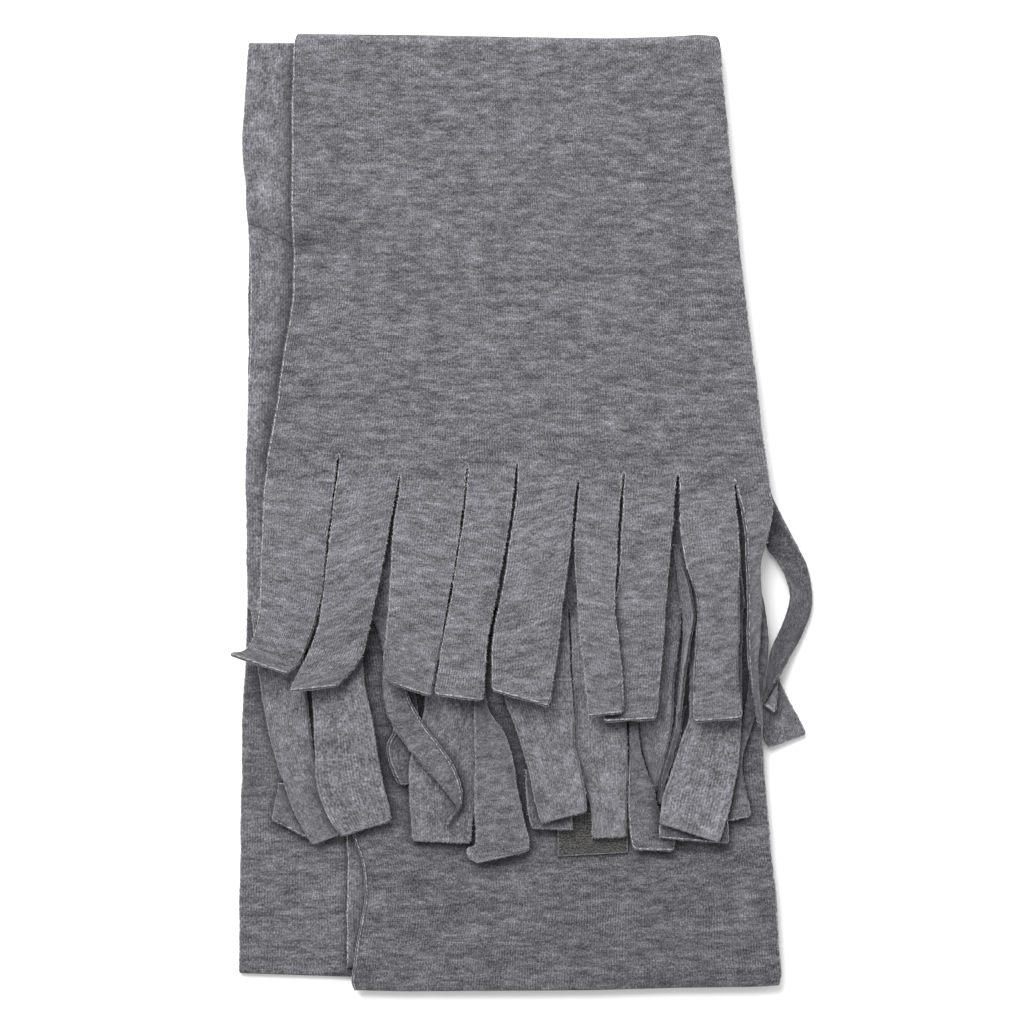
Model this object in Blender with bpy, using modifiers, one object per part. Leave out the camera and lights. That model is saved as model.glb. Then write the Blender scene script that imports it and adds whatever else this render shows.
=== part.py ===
"""Fringed winter scarf in brushed-back sweatshirt jersey, folded into a flat stack.

One band of cloth lies in six levels. From the top: the first end, knit side up, with its fringe;
the second end, brushed side up, with its fringe below the first; then four turns of the middle.
Metres, +Z up. The origin is on the flat underside, +Y runs along the cloth away from the fringes.
All tables are in millimetres and scaled once, in `loft`, `plate` and `hairpin_path`.
"""

import bmesh
import bpy
from math import cos, pi, sin
from mathutils import Vector

MM = 0.001

# Driving dimensions
CLOTH = 1.3  # wall of the cloth
SEAT = 0.3  # air between two levels that touch
PITCH = CLOTH + SEAT
CUT_INSET = 0.25  # each side of a fringe cut is drawn in by this much
LABEL_WALL = 0.4

# Mid-height of each level of cloth
TURN_1 = CLOTH / 2
TURN_2 = TURN_1 + PITCH
TURN_3 = TURN_2 + PITCH
LOWER_PANEL = TURN_3 + PITCH
SECOND_END = LOWER_PANEL + PITCH
FIRST_END = SECOND_END + PITCH
LABEL_LEVEL = LOWER_PANEL + CLOTH / 2 + SEAT + LABEL_WALL / 2

# Folds across the scarf: the y of each bend's centre line
FOLD_STEPS = 8
FOLD_RETURN = 6.0  # how far a fold's under-side runs back as part of the same piece
TOP_FOLD_OUTER_Y = 168.5
TOP_FOLD_INNER_Y = 168.7
BOTTOM_FOLD_FRONT_Y = -171.5
BOTTOM_FOLD_BACK_Y = -166.5

# Edges of the lengths of cloth. Columns: y, left x, right x
FIRST_END_EDGES = (
    (168.5, -79.0, 76.0),
    (145.5, -79.5, 78.0),
    (113.0, -79.5, 81.5),
    (81.0, -79.0, 84.5),
    (63.5, -81.5, 87.0),
    (42.5, -84.5, 89.5),
    (29.5, -86.5, 91.0),
)
SECOND_END_EDGES = (
    (168.7, -95.5, 64.5),
    (133.0, -97.5, 67.5),
    (113.0, -96.0, 69.0),
    (77.0, -94.5, 72.5),
    (42.5, -95.5, 76.0),
    (15.0, -96.5, 79.5),
    (-34.0, -96.0, 84.5),
)
LOWER_PANEL_EDGES = (
    (162.0, -94.0, 72.5),
    (40.5, -78.0, 81.5),
    (-32.0, -69.0, 87.0),
    (-68.5, -64.0, 90.0),
    (-91.0, -61.0, 91.5),
    (-117.5, -57.5, 93.5),
    (-127.0, -54.5, 94.5),
    (-134.5, -53.5, 95.5),
    (-142.5, -53.5, 96.0),
    (-149.5, -55.0, 96.5),
    (-157.5, -56.5, 97.0),
    (-171.5, -58.5, 98.0),
)
TURN_3_SLIVER_EDGES = (
    (-98.0, -62.0, -48.5),
    (-117.5, -60.0, -48.5),
    (-165.0, -60.0, -48.5),
)
TURN_2_SLIVER_EDGES = (
    (-32.0, -96.5, -59.5),
    (-54.0, -97.0, -59.5),
    (-68.5, -98.0, -59.5),
    (-97.5, -98.5, -59.5),
    (-126.5, -99.0, -59.5),
    (-166.5, -99.5, -59.5),
)

# Where the first end's cloth stops and its strips begin, at each cut. Columns: x, y
FIRST_END_CUTS = (
    (-88.5, 18.5),
    (-62.5, 21.0),
    (-40.5, 13.5),
    (-16.0, 17.0),
    (2.0, 18.0),
    (24.0, 12.0),
    (40.5, 14.5),
    (60.0, 14.0),
    (80.5, 11.5),
    (93.5, 8.0),
)

# The second end overhangs the panel below it on the left, and sags there.
SAG_PER_SQUARE = 0.0034
MOST_SAG = 2.6

# Fringe strips, from root to tip, each cut between two edges.
# Columns: left x, left y, right x, right y, left rise, right rise above the strip's own level
FIRST_FRINGE = {
    "01": (
        (-88.5, 18.0, -62.5, 20.5, 0, 0),
        (-90.0, 4.5, -64.5, 4.5, 0, 0),
        (-90.5, -12.0, -66.5, -12.0, -0.3, 0),
        (-91.0, -27.0, -68.0, -28.0, -0.6, 0),
        (-92.5, -42.0, -71.5, -43.5, -0.7, 0),
        (-96.5, -49.5, -76.0, -54.0, -0.6, 0),
        (-102.5, -51.0, -80.5, -58.5, -0.4, -0.2),
    ),
    "02": (
        (-62.5, 20.5, -40.5, 13.0, 0, 0),
        (-64.5, 4.5, -42.0, 4.5, 0, 0),
        (-66.5, -12.0, -45.0, -12.0, 0, 0),
        (-68.0, -28.0, -48.0, -28.0, 0, 0),
        (-71.0, -43.5, -51.5, -43.5, 0, 0),
        (-75.5, -54.5, -54.5, -53.5, 0, 0),
        (-80.5, -64.5, -62.0, -62.5, 0.1, 0.3),
    ),
    "03": (
        (-40.5, 13.0, -16.0, 16.5, 0, 0),
        (-41.5, 4.5, -17.0, 4.5, 0, 0),
        (-43.5, -7.0, -18.5, -7.0, 0, 0),
        (-44.0, -23.0, -21.0, -23.0, 0, 0),
        (-46.0, -48.0, -25.5, -48.0, 0, 0),
        (-46.0, -58.0, -27.5, -59.0, 0.1, 0),
        (-43.5, -61.5, -28.5, -66.5, 0.3, 0.1),
    ),
    "04": (
        (-16.0, 16.5, 2.0, 17.5, 0, 0),
        (-17.0, 4.5, 0.5, 4.5, 0, 0),
        (-18.5, -7.0, -1.0, -7.0, 0, 0),
        (-21.0, -23.0, -4.0, -23.0, 0, 0),
        (-25.5, -48.0, -8.5, -48.0, 0, 0),
        (-28.5, -65.5, -10.0, -68.0, 0, 0.2),
    ),
    "05": (
        (2.0, 17.5, 24.0, 11.5, 0, 0),
        (1.0, 4.5, 23.0, 4.5, 0, 0),
        (-0.5, -7.0, 22.0, -7.0, 0, 0),
        (-3.0, -23.0, 20.0, -23.0, 0, 0),
        (-7.5, -48.0, 17.0, -48.0, 0, 0),
        (-7.5, -64.0, 14.0, -70.0, 0.1, 0.3),
    ),
    "06": (
        (24.0, 11.5, 40.5, 14.0, 0, 0),
        (22.5, -7.0, 38.5, -7.0, 0, 0),
        (22.5, -21.5, 38.0, -21.5, 0, 1.4),
        (23.5, -36.0, 37.5, -36.0, 0.3, 1.9),
        (24.5, -48.0, 39.0, -48.0, 0.9, 2.1),
        (26.0, -62.0, 40.5, -62.0, 1.3, 2.2),
        (27.5, -73.5, 40.5, -72.0, 1.5, 2.2),
    ),
    "07": (
        (40.5, 14.0, 60.0, 13.5, 0, 0),
        (39.0, -7.0, 58.0, -7.0, 0, 0),
        (38.5, -21.5, 57.0, -21.5, 0, 0),
        (36.0, -36.0, 55.5, -36.0, 0, 0),
        (35.0, -48.0, 55.0, -48.0, 0, 0),
        (33.5, -62.0, 53.5, -62.0, 0, 0),
        (32.5, -75.5, 52.5, -74.5, 0, 0),
    ),
    "08": (
        (60.0, 13.5, 80.5, 11.0, 0, 0),
        (60.5, -7.0, 82.5, -7.0, 0, 0),
        (62.5, -20.0, 83.5, -20.0, 0, 0),
        (66.5, -32.0, 83.5, -32.0, 0, 0),
        (66.0, -43.0, 83.0, -43.5, 0, 0),
        (65.0, -56.5, 81.5, -56.5, 0, 0),
        (65.0, -75.5, 83.0, -74.0, 0.1, 0.1),
    ),
    "09": (
        (80.5, 11.0, 93.0, 7.5, 0, -0.2),
        (82.0, 0.5, 93.5, 0.0, 0, -0.6),
        (83.0, -8.5, 92.0, -10.0, 0, -0.8),
        (84.0, -20.0, 90.0, -20.0, 0, -0.9),
        (84.0, -32.0, 91.5, -32.0, 0, -0.9),
        (83.5, -43.5, 93.0, -43.5, 0, -0.9),
        (84.0, -56.5, 89.0, -56.5, 0, -0.6),
        (88.5, -76.0, 91.0, -78.0, -0.2, -0.6),
    ),
    "10_twisted": (
        (93.9, 9.5, 94.9, 8.5, -1.6, -0.6),
        (94.0, 5.5, 95.5, 4.0, -3.6, -2.2),
        (94.0, -12.5, 100.0, -4.5, -6.2, -1.2),
        (97.5, -18.0, 105.0, -14.0, -7.2, -1.1),
        (100.5, -23.5, 108.5, -22.0, -7.6, -1.3),
        (101.5, -30.5, 110.0, -31.0, -7.7, -1.5),
        (100.5, -37.0, 108.0, -41.0, -7.6, -1.3),
        (97.0, -44.5, 104.5, -48.0, -7.0, -0.9),
        (93.5, -52.0, 100.5, -54.5, -5.4, -0.7),
        (91.5, -64.5, 97.0, -61.0, -3.8, -2.4),
        (91.5, -74.0, 102.0, -69.0, -5.4, -5.8),
        (91.5, -85.5, 108.0, -80.5, -6.8, -7.8),
    ),
    "11_narrow": (
        (60.0, -14.5, 61.5, -17.5, 0, 0),
        (61.0, -28.0, 64.5, -28.0, 0, 0.1),
        (61.5, -40.0, 65.5, -40.0, 0, 0.1),
        (61.0, -50.0, 64.5, -50.5, 0.1, 0.5),
        (61.0, -69.0, 63.5, -69.0, 0.1, 0.9),
    ),
}
SECOND_FRINGE = {
    "01": (
        (-95.5, -34.5, -75.5, -34.5, -2.4, -0.8),
        (-92.0, -61.0, -73.5, -61.5, -1.8, -1.2),
        (-89.5, -76.0, -72.5, -76.0, -1.6, -1.2),
        (-83.5, -97.5, -71.5, -97.0, -1.6, -1.5),
        (-79.0, -110.0, -67.5, -109.5, -2.2, -2.2),
        (-72.5, -121.0, -63.0, -117.5, -2.8, -2.9),
    ),
    "02_corner": (
        (-85.0, -98.5, -84.0, -98.5, -3.2, -3.2),
        (-86.0, -103.5, -82.5, -103.5, -3.2, -3.2),
        (-87.5, -109.0, -80.5, -109.0, -3.2, -3.2),
        (-88.0, -111.0, -77.5, -115.5, -3.2, -3.2),
    ),
    "03": (
        (-75.0, -34.5, -55.0, -34.5, 0, 0),
        (-73.0, -64.5, -52.5, -64.0, 0, 0),
        (-72.0, -76.0, -50.0, -75.5, 0, 0),
        (-71.0, -99.0, -46.0, -98.5, 0, 0),
        (-67.0, -110.0, -44.0, -106.5, 0, 0),
        (-62.5, -117.5, -43.0, -111.5, 0, 0),
    ),
    "04_curled": (
        (-48.5, -69.0, -47.5, -69.0, 1.0, 0.2),
        (-48.0, -74.0, -46.0, -74.0, 1.4, 0.1),
        (-47.0, -80.5, -42.5, -81.0, 2.0, 0),
        (-46.5, -87.0, -39.0, -87.0, 2.2, 0),
        (-45.0, -93.5, -38.5, -93.5, 1.8, 0),
        (-44.0, -99.5, -38.5, -99.5, 1.0, 0),
    ),
    "05_twisted": (
        (-54.5, -34.5, -38.0, -34.5, 0, 0),
        (-53.0, -50.0, -38.0, -50.0, 0, 0),
        (-46.5, -70.0, -36.0, -69.0, 0.1, 0.3),
        (-43.0, -79.0, -29.5, -77.5, 0.6, 2.8),
        (-36.5, -87.0, -23.0, -86.5, 1.9, 3.6),
        (-31.0, -93.5, -19.5, -92.5, 1.9, 3.9),
        (-25.0, -101.0, -18.0, -99.5, 1.9, 3.6),
        (-20.5, -107.0, -19.0, -107.5, 1.9, 2.6),
        (-24.5, -113.0, -23.0, -114.0, 1.8, 2.1),
    ),
    "06": (
        (-32.0, -34.5, -15.0, -34.5, 0, 0),
        (-32.0, -70.0, -14.5, -70.0, 0, 0),
        (-33.5, -77.0, -14.5, -77.0, 0, 0),
        (-37.5, -90.5, -14.5, -90.5, 0, 0),
        (-37.5, -102.5, -14.5, -102.5, 0, 0),
        (-36.5, -119.0, -14.5, -120.0, 0, 0),
    ),
    "07": (
        (-14.5, -34.5, -9.5, -34.5, 0, 0),
        (-14.0, -69.0, -9.0, -69.0, 0, 0),
        (-14.0, -83.0, -1.5, -82.0, 0, 0),
        (-14.0, -105.5, 3.5, -105.0, 0, 0),
        (-14.0, -120.5, 6.5, -119.0, 0, 0),
        (-17.0, -122.0, 6.5, -120.5, 0, 0),
        (-15.0, -127.5, 7.0, -122.5, 0, 0),
    ),
    "08_under": (
        (4.5, -93.5, 19.5, -93.5, 0, 0),
        (5.0, -106.5, 21.5, -106.5, 0.75, 0.75),
        (6.5, -114.5, 23.0, -115.0, 0.75, 0.75),
    ),
    "09": (
        (-5.5, -34.5, 20.5, -34.5, 0, 0),
        (-3.0, -68.0, 22.5, -68.0, 0, 0),
        (0.5, -77.0, 23.0, -76.0, 0, 0),
        (3.5, -86.0, 23.5, -85.5, 0.8, 0.8),
        (5.0, -91.0, 25.0, -91.0, 1.8, 1.8),
        (7.5, -103.5, 27.0, -102.5, 2.5, 2.5),
        (10.0, -112.5, 27.5, -108.0, 2.5, 2.5),
    ),
    "10": (
        (20.5, -34.5, 41.0, -34.5, 0, 0),
        (23.0, -68.0, 41.5, -68.0, 0, 0),
        (24.5, -86.0, 42.0, -84.5, 0, 0),
        (26.5, -99.0, 42.0, -99.0, 0.2, 0.2),
        (28.0, -106.5, 42.0, -106.5, 0.75, 0.75),
        (28.5, -118.0, 42.0, -117.5, 0.75, 0.75),
    ),
    "11": (
        (43.0, -64.5, 45.5, -64.5, 0, 0),
        (43.0, -84.5, 46.5, -84.5, 0, 0),
        (43.5, -93.5, 49.0, -93.5, 0, 0),
        (43.5, -101.0, 51.0, -101.0, 0, 0),
        (43.0, -109.0, 52.0, -109.0, 0, 0),
        (43.0, -116.0, 58.5, -116.0, 0, 0),
        (44.0, -122.0, 59.0, -122.5, 0, 0),
    ),
    "12": (
        (46.0, -64.5, 58.5, -64.5, 0, 0),
        (46.5, -76.0, 57.5, -77.5, 0, 0),
        (47.5, -84.5, 56.0, -84.5, 0, 0),
        (50.0, -93.5, 53.5, -93.5, 0, 0),
        (51.5, -98.5, 52.5, -98.5, 0, 0),
    ),
    "13_narrow": (
        (59.5, -70.5, 61.0, -70.5, 0.1, 0.8),
        (58.0, -81.5, 60.0, -82.0, 0.1, 1.2),
        (55.5, -89.0, 57.5, -90.0, 0.1, 1.2),
        (53.5, -97.0, 55.0, -98.0, 0.1, 0.8),
        (52.6, -103.5, 53.8, -104.0, 0.1, 0.4),
    ),
    "14_under": (
        (56.5, -102.5, 77.0, -104.5, 1.2, 0.1),
        (53.5, -109.5, 78.5, -111.0, 2.1, 0.2),
        (52.5, -117.5, 79.0, -120.0, 2.3, 0.3),
    ),
    "15": (
        (62.5, -34.5, 84.0, -34.5, 0, 0),
        (64.0, -74.0, 83.5, -74.0, 0, 0),
        (61.5, -82.5, 83.0, -83.5, 0.1, 0.1),
        (59.5, -89.0, 82.5, -90.5, 0.9, 0.7),
        (56.5, -95.5, 81.0, -97.5, 2.6, 1.6),
        (54.0, -103.0, 79.5, -105.0, 3.7, 2.1),
        (52.5, -112.0, 75.5, -119.5, 4.2, 2.6),
    ),
    "16": (
        (83.0, -92.0, 84.5, -92.0, 0, 0),
        (82.0, -98.5, 85.0, -98.5, 0, 0),
        (80.5, -105.5, 86.0, -105.5, 0, 0),
        (79.5, -111.5, 87.0, -110.0, 0, 0),
    ),
}
BRUSHED_STRIPS = {
    "first_fringe_10_twisted",
    "second_fringe_01",
    "second_fringe_03",
    "second_fringe_04_curled",
    "second_fringe_06",
    "second_fringe_08_under",
    "second_fringe_09",
    "second_fringe_10",
    "second_fringe_12",
    "second_fringe_13_narrow",
    "second_fringe_15",
}

# Sewn label on the lower panel. Columns: left x, left y, right x, right y
LABEL_ROWS = (
    (16.5, -109.0, 42.0, -109.0),
    (16.5, -125.0, 42.0, -123.5),
)

# Outlines of the hidden turns. Columns: x, y
TURN_1_OUTLINE = (
    (-79.5, 161.8),
    (76.0, 161.8),
    (78.0, 77.0),
    (80.5, -54.0),
    (83.0, -168.0),
    (-59.0, -168.0),
    (-59.0, -160.2),
    (-98.5, -160.2),
    (-92.5, -54.0),
    (-85.0, 77.0),
)
TURN_2_OUTLINE = (
    (-95.5, 169.4),
    (68.5, 169.4),
    (70.5, 77.0),
    (77.0, -54.0),
    (83.0, -168.0),
    (-59.0, -168.0),
    (-59.0, -31.5),
    (-96.5, -31.5),
    (-96.0, 77.0),
)
TURN_3_OUTLINE = (
    (-95.0, 170.0),
    (70.5, 170.0),
    (81.0, 40.5),
    (90.0, -90.0),
    (97.5, -165.2),
    (-48.0, -165.2),
    (-48.0, -97.5),
    (-62.5, -97.5),
    (-78.0, 40.5),
)
TURNS_JOINED = (
    (-72.0, 150.0),
    (60.0, 150.0),
    (66.0, 20.0),
    (70.0, -155.0),
    (-38.0, -155.0),
    (-38.0, -86.0),
    (-48.0, -72.0),
    (-48.0, -20.0),
    (-70.0, 0.0),
)
EDGE_ROUND = 0.45

KNIT_GREY = (0.19, 0.185, 0.205)
BRUSHED_GREY = (0.215, 0.21, 0.235)
LABEL_GREY = (0.078, 0.075, 0.08)


def clear_scene():
    for old in list(bpy.data.objects):
        bpy.data.objects.remove(old, do_unlink=True)


def collection(name):
    made = bpy.data.collections.new(name)
    bpy.context.scene.collection.children.link(made)
    return made


def cloth_material(name, colour, roughness):
    made = bpy.data.materials.new(name)
    made.use_nodes = True
    shader = made.node_tree.nodes["Principled BSDF"]
    shader.inputs["Base Color"].default_value = (*colour, 1.0)
    shader.inputs["Roughness"].default_value = roughness
    shader.inputs["Metallic"].default_value = 0.0
    return made


def add_object(name, mesh, home, material):
    made = bpy.data.objects.new(name, mesh)
    made.data.materials.append(material)
    home.objects.link(made)
    return made


def loft(name, rows, wall, home, material):
    """A wall of cloth: an open sheet through rows of points in millimetres, thickened both ways."""
    shape = bmesh.new()
    lines = [[shape.verts.new(Vector(point) * MM) for point in row] for row in rows]
    for line, following in zip(lines, lines[1:]):
        for i in range(len(line) - 1):
            shape.faces.new((line[i], following[i], following[i + 1], line[i + 1]))
    bmesh.ops.recalc_face_normals(shape, faces=shape.faces)
    mesh = bpy.data.meshes.new(name)
    shape.to_mesh(mesh)
    shape.free()
    made = add_object(name, mesh, home, material)
    thicken = made.modifiers.new("cloth wall", "SOLIDIFY")
    thicken.thickness = wall * MM
    thicken.offset = 0.0
    return made


def plate(name, outline, low, high, home, material):
    """A flat slab between two heights, with its rim rounded."""
    shape = bmesh.new()
    face = shape.faces.new([shape.verts.new((x * MM, y * MM, low * MM)) for x, y in outline])
    raised = bmesh.ops.extrude_face_region(shape, geom=[face])["geom"]
    lifted = [part for part in raised if isinstance(part, bmesh.types.BMVert)]
    bmesh.ops.translate(shape, verts=lifted, vec=(0, 0, (high - low) * MM))
    bmesh.ops.recalc_face_normals(shape, faces=shape.faces)
    rim = [edge for edge in shape.edges if edge.calc_face_angle() > 0.5]
    bmesh.ops.bevel(shape, geom=rim, offset=EDGE_ROUND * MM, segments=2, profile=0.5, affect="EDGES")
    mesh = bpy.data.meshes.new(name)
    shape.to_mesh(mesh)
    shape.free()
    return add_object(name, mesh, home, material)


def hairpin_path(centre_y, low, high, outward):
    """(y, z) points of a fold from its lower level, round the bend, to its upper level.

    outward is +1 for a fold at the far end of the stack and -1 at the near end.
    """
    middle, radius = (low + high) / 2, (high - low) / 2
    path = [(centre_y - outward * FOLD_RETURN, low)]
    for step in range(FOLD_STEPS + 1):
        angle = -pi / 2 + pi * step / FOLD_STEPS
        path.append((centre_y + outward * radius * cos(angle), middle + radius * sin(angle)))
    return path


def edges_at(table, y):
    """The left and right edge at y, between the rows of a (y, left, right) table."""
    if y >= table[0][0]:
        return table[0][1:]
    for (y_a, left_a, right_a), (y_b, left_b, right_b) in zip(table, table[1:]):
        if y_b <= y <= y_a:
            share = (y_a - y) / (y_a - y_b)
            return left_a + (left_b - left_a) * share, right_a + (right_b - right_a) * share
    return table[-1][1:]


def across(left, right, shares, y, z):
    return [(left + (right - left) * share, y, z) for share in shares]


def first_end(home, material):
    """The first end and the outer fold, cut off at the bottom where its strips begin."""
    start, stop = FIRST_END_CUTS[0][0], FIRST_END_CUTS[-1][0]
    shares = [(x - start) / (stop - start) for x, _ in FIRST_END_CUTS]
    _, left, right = FIRST_END_EDGES[0]
    fold = hairpin_path(TOP_FOLD_OUTER_Y, TURN_1, FIRST_END, 1)
    rows = [across(left, right, shares, y, z) for y, z in fold]
    rows += [across(a, b, shares, y, FIRST_END) for y, a, b in FIRST_END_EDGES[1:]]
    rows.append([(x, y, FIRST_END) for x, y in FIRST_END_CUTS])
    loft("first_end", rows, CLOTH, home, material)


def second_end(home, material):
    """The second end with the inner top fold; its left part sags past the panel below."""
    _, left, right = SECOND_END_EDGES[0]
    rows = []
    for y, z in hairpin_path(TOP_FOLD_INNER_Y, LOWER_PANEL, SECOND_END, 1):
        rows.append([(left, y, z), (left + FOLD_RETURN, y, z), (right, y, z)])
    for y, left, right in SECOND_END_EDGES[1:]:
        ledge, _ = edges_at(LOWER_PANEL_EDGES, y)
        sag = min(MOST_SAG, SAG_PER_SQUARE * (ledge - left) ** 2)
        rows.append([(left, y, SECOND_END - sag), (ledge, y, SECOND_END), (right, y, SECOND_END)])
    loft("second_end", rows, CLOTH, home, material)


def lower_panel(home, material):
    """The panel that shows under both fringes, with the bottom fold at the front."""
    rows = [across(a, b, (0, 1), y, LOWER_PANEL) for y, a, b in LOWER_PANEL_EDGES[:-1]]
    _, left, right = LOWER_PANEL_EDGES[-1]
    fold = hairpin_path(BOTTOM_FOLD_FRONT_Y, TURN_3, LOWER_PANEL, -1)
    under_left = TURN_3_SLIVER_EDGES[-1][1]
    for y, z in reversed(fold):
        share = (LOWER_PANEL - z) / PITCH
        rows.append([(left + (under_left - left) * share, y, z), (right, y, z)])
    loft("lower_panel", rows, CLOTH, home, material)


def turn_3_sliver(home, material):
    rows = [across(a, b, (0, 1), y, TURN_3) for y, a, b in TURN_3_SLIVER_EDGES]
    loft("third_turn_edge", rows, CLOTH, home, material)


def turn_2_sliver(home, material):
    """The second turn where it shows on the left, with the bottom fold at the back."""
    rows = [across(a, b, (0, 1), y, TURN_2) for y, a, b in TURN_2_SLIVER_EDGES[:-1]]
    _, left, right = TURN_2_SLIVER_EDGES[-1]
    fold = hairpin_path(BOTTOM_FOLD_BACK_Y, TURN_1, TURN_2, -1)
    rows += [across(left, right, (0, 1), y, z) for y, z in reversed(fold)]
    loft("second_turn_edge", rows, CLOTH, home, material)


def hidden_turns(home, cutters, material):
    """The three lowest levels where nothing of them shows: one solid, layered at its edges."""
    half = CLOTH / 2
    core = plate("folded_core", TURN_1_OUTLINE, TURN_1 - half, TURN_1 + half, home, material)
    fused = (
        ("turn_2_slab", TURN_2_OUTLINE, TURN_2 - half, TURN_2 + half),
        ("turn_3_slab", TURN_3_OUTLINE, TURN_3 - half, TURN_3 + half),
        ("turns_joined", TURNS_JOINED, TURN_1, TURN_3),
    )
    for name, outline, low, high in fused:
        slab = plate(name, outline, low, high, cutters, material)
        slab.hide_render = True
        slab.display_type = "WIRE"
        union = core.modifiers.new(name, "BOOLEAN")
        union.operation = "UNION"
        union.solver = "EXACT"
        union.object = slab


def strip_rows(table, level):
    """Turns a strip's table into rows of points, with both cut edges drawn in a little."""
    rows = []
    for left_x, left_y, right_x, right_y, left_rise, right_rise in table:
        left = Vector((left_x, left_y, level + left_rise))
        right = Vector((right_x, right_y, level + right_rise))
        inset = (right - left).normalized() * CUT_INSET
        rows.append((left + inset, right - inset))
    return rows


def fringe(prefix, tables, level, home, knit, brushed):
    for key, table in tables.items():
        name = f"{prefix}_{key}"
        face_up = brushed if name in BRUSHED_STRIPS else knit
        loft(name, strip_rows(table, level), CLOTH, home, face_up)


def sewn_label(home, material):
    rows = [((a, b, LABEL_LEVEL), (c, d, LABEL_LEVEL)) for a, b, c, d in LABEL_ROWS]
    loft("sewn_label", rows, LABEL_WALL, home, material)


def build():
    clear_scene()
    scarf = collection("fringed_winter_scarf")
    cutters = collection("cutters")
    knit = cloth_material("knit_face", KNIT_GREY, 0.95)
    brushed = cloth_material("brushed_back", BRUSHED_GREY, 1.0)
    label = cloth_material("label_weave", LABEL_GREY, 0.8)
    hidden_turns(scarf, cutters, knit)
    turn_2_sliver(scarf, knit)
    turn_3_sliver(scarf, brushed)
    lower_panel(scarf, knit)
    sewn_label(scarf, label)
    second_end(scarf, brushed)
    fringe("second_fringe", SECOND_FRINGE, SECOND_END, scarf, knit, brushed)
    first_end(scarf, knit)
    fringe("first_fringe", FIRST_FRINGE, FIRST_END, scarf, knit, brushed)


build()
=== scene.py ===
"""Looks of the folded fringed scarf: every stretch of cloth as a thin knitted shell on its solid's form.

All tables and lengths are in millimetres, in the frame of the solids, and are scaled where a mesh is made.
The origin is on the flat underside, +Y runs away from the fringes and +Z up through the layers.
"""

from collections import namedtuple
from math import cos, pi, sin

import bpy
import numpy as np
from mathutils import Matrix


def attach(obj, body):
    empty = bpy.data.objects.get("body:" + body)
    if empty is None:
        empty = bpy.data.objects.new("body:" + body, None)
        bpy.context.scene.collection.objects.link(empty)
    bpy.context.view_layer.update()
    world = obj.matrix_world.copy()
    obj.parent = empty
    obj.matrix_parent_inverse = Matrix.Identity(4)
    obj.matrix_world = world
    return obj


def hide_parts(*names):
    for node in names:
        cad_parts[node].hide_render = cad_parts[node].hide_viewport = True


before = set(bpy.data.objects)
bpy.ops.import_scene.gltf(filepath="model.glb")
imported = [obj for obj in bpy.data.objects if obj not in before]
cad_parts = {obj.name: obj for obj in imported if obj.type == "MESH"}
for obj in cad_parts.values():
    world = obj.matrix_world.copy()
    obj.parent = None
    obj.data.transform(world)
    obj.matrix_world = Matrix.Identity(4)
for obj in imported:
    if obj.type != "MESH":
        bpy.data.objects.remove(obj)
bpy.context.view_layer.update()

MM = 0.001

# Cloth and its six levels, each at the middle of its cloth
CLOTH = 1.3
HALF = CLOTH / 2
SEAT = 0.3  # room between one length of cloth and the next
PITCH = CLOTH + SEAT
TURN_1 = HALF
TURN_2 = TURN_1 + PITCH
TURN_3 = TURN_2 + PITCH
LOWER = TURN_3 + PITCH
SECOND = LOWER + PITCH
FIRST = SECOND + PITCH
SAME_LEVEL = 0.01  # heights closer than this are one level
LABEL_WALL = 0.4
LABEL_LEVEL = LOWER + HALF + SEAT + LABEL_WALL / 2

# Mesh spacing
FINE = 1.15
NEAR_CUTS = 1.6
MIDDLING = 1.8
COARSE = 3.2
RIM_ROOM = (0.0, 0.46, 0.9, 1.5)  # lines of points in from a raw edge

# Folds across the scarf
FOLD_STEPS = 14
FOLD_RETURN = 6.0  # how far a fold's cloth runs back on the lower of its two levels
TOP_FOLD_OUTER_Y = 168.5
TOP_FOLD_INNER_Y = 168.7
BOTTOM_FOLD_FRONT_Y = -172.5
BOTTOM_FOLD_BACK_Y = -166.8

# Edges of the lengths of cloth. Columns: y, left x, right x
FIRST_EDGES = (
    (168.5, -79, 75.5),
    (145.5, -79.5, 77.3),
    (113, -79.5, 80.7),
    (81, -79, 84),
    (63.5, -81.5, 86.4),
    (42.5, -84.5, 88.9),
    (29.5, -86.5, 90.4),
)
SECOND_EDGES = (
    (168.7, -95.5, 64.5),
    (133, -97.5, 67.5),
    (113, -96, 69),
    (77, -94.5, 72.5),
    (42.5, -95.5, 76),
    (15, -96.5, 79.5),
    (-34, -96, 84.5),
)
LOWER_EDGES = (
    (168.7, -94.8, 72),
    (40.5, -78, 81.5),
    (-32, -69, 87),
    (-68.5, -64, 90),
    (-91, -61, 91.5),
    (-117.5, -57.5, 93.5),
    (-127, -54.5, 94.5),
    (-134.5, -53.5, 95.5),
    (-142.5, -53.5, 96),
    (-149.5, -55, 96.5),
    (-157.5, -56.5, 97),
    (-171.5, -58.5, 98),
)
TURN_3_EDGES = (
    (170, -95, 70.5),
    (40.5, -78, 81),
    (-90, -62.5, 90),
    (-117.5, -60, 93),
    (-165.5, -60, 97.5),
)
TURN_2_EDGES = (
    (169.4, -95.5, 68.5),
    (77, -96, 70.5),
    (-32, -96.5, 75.5),
    (-54, -97, 77),
    (-68.5, -98, 78),
    (-97.5, -98.5, 80),
    (-126.5, -99, 82),
    (-166.5, -99.5, 83),
)
TURN_1_EDGES = (
    (162.5, -79, 76),
    (77, -85, 78),
    (-54, -92.5, 80.5),
    (-160.5, -99.5, 83),
)

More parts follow.
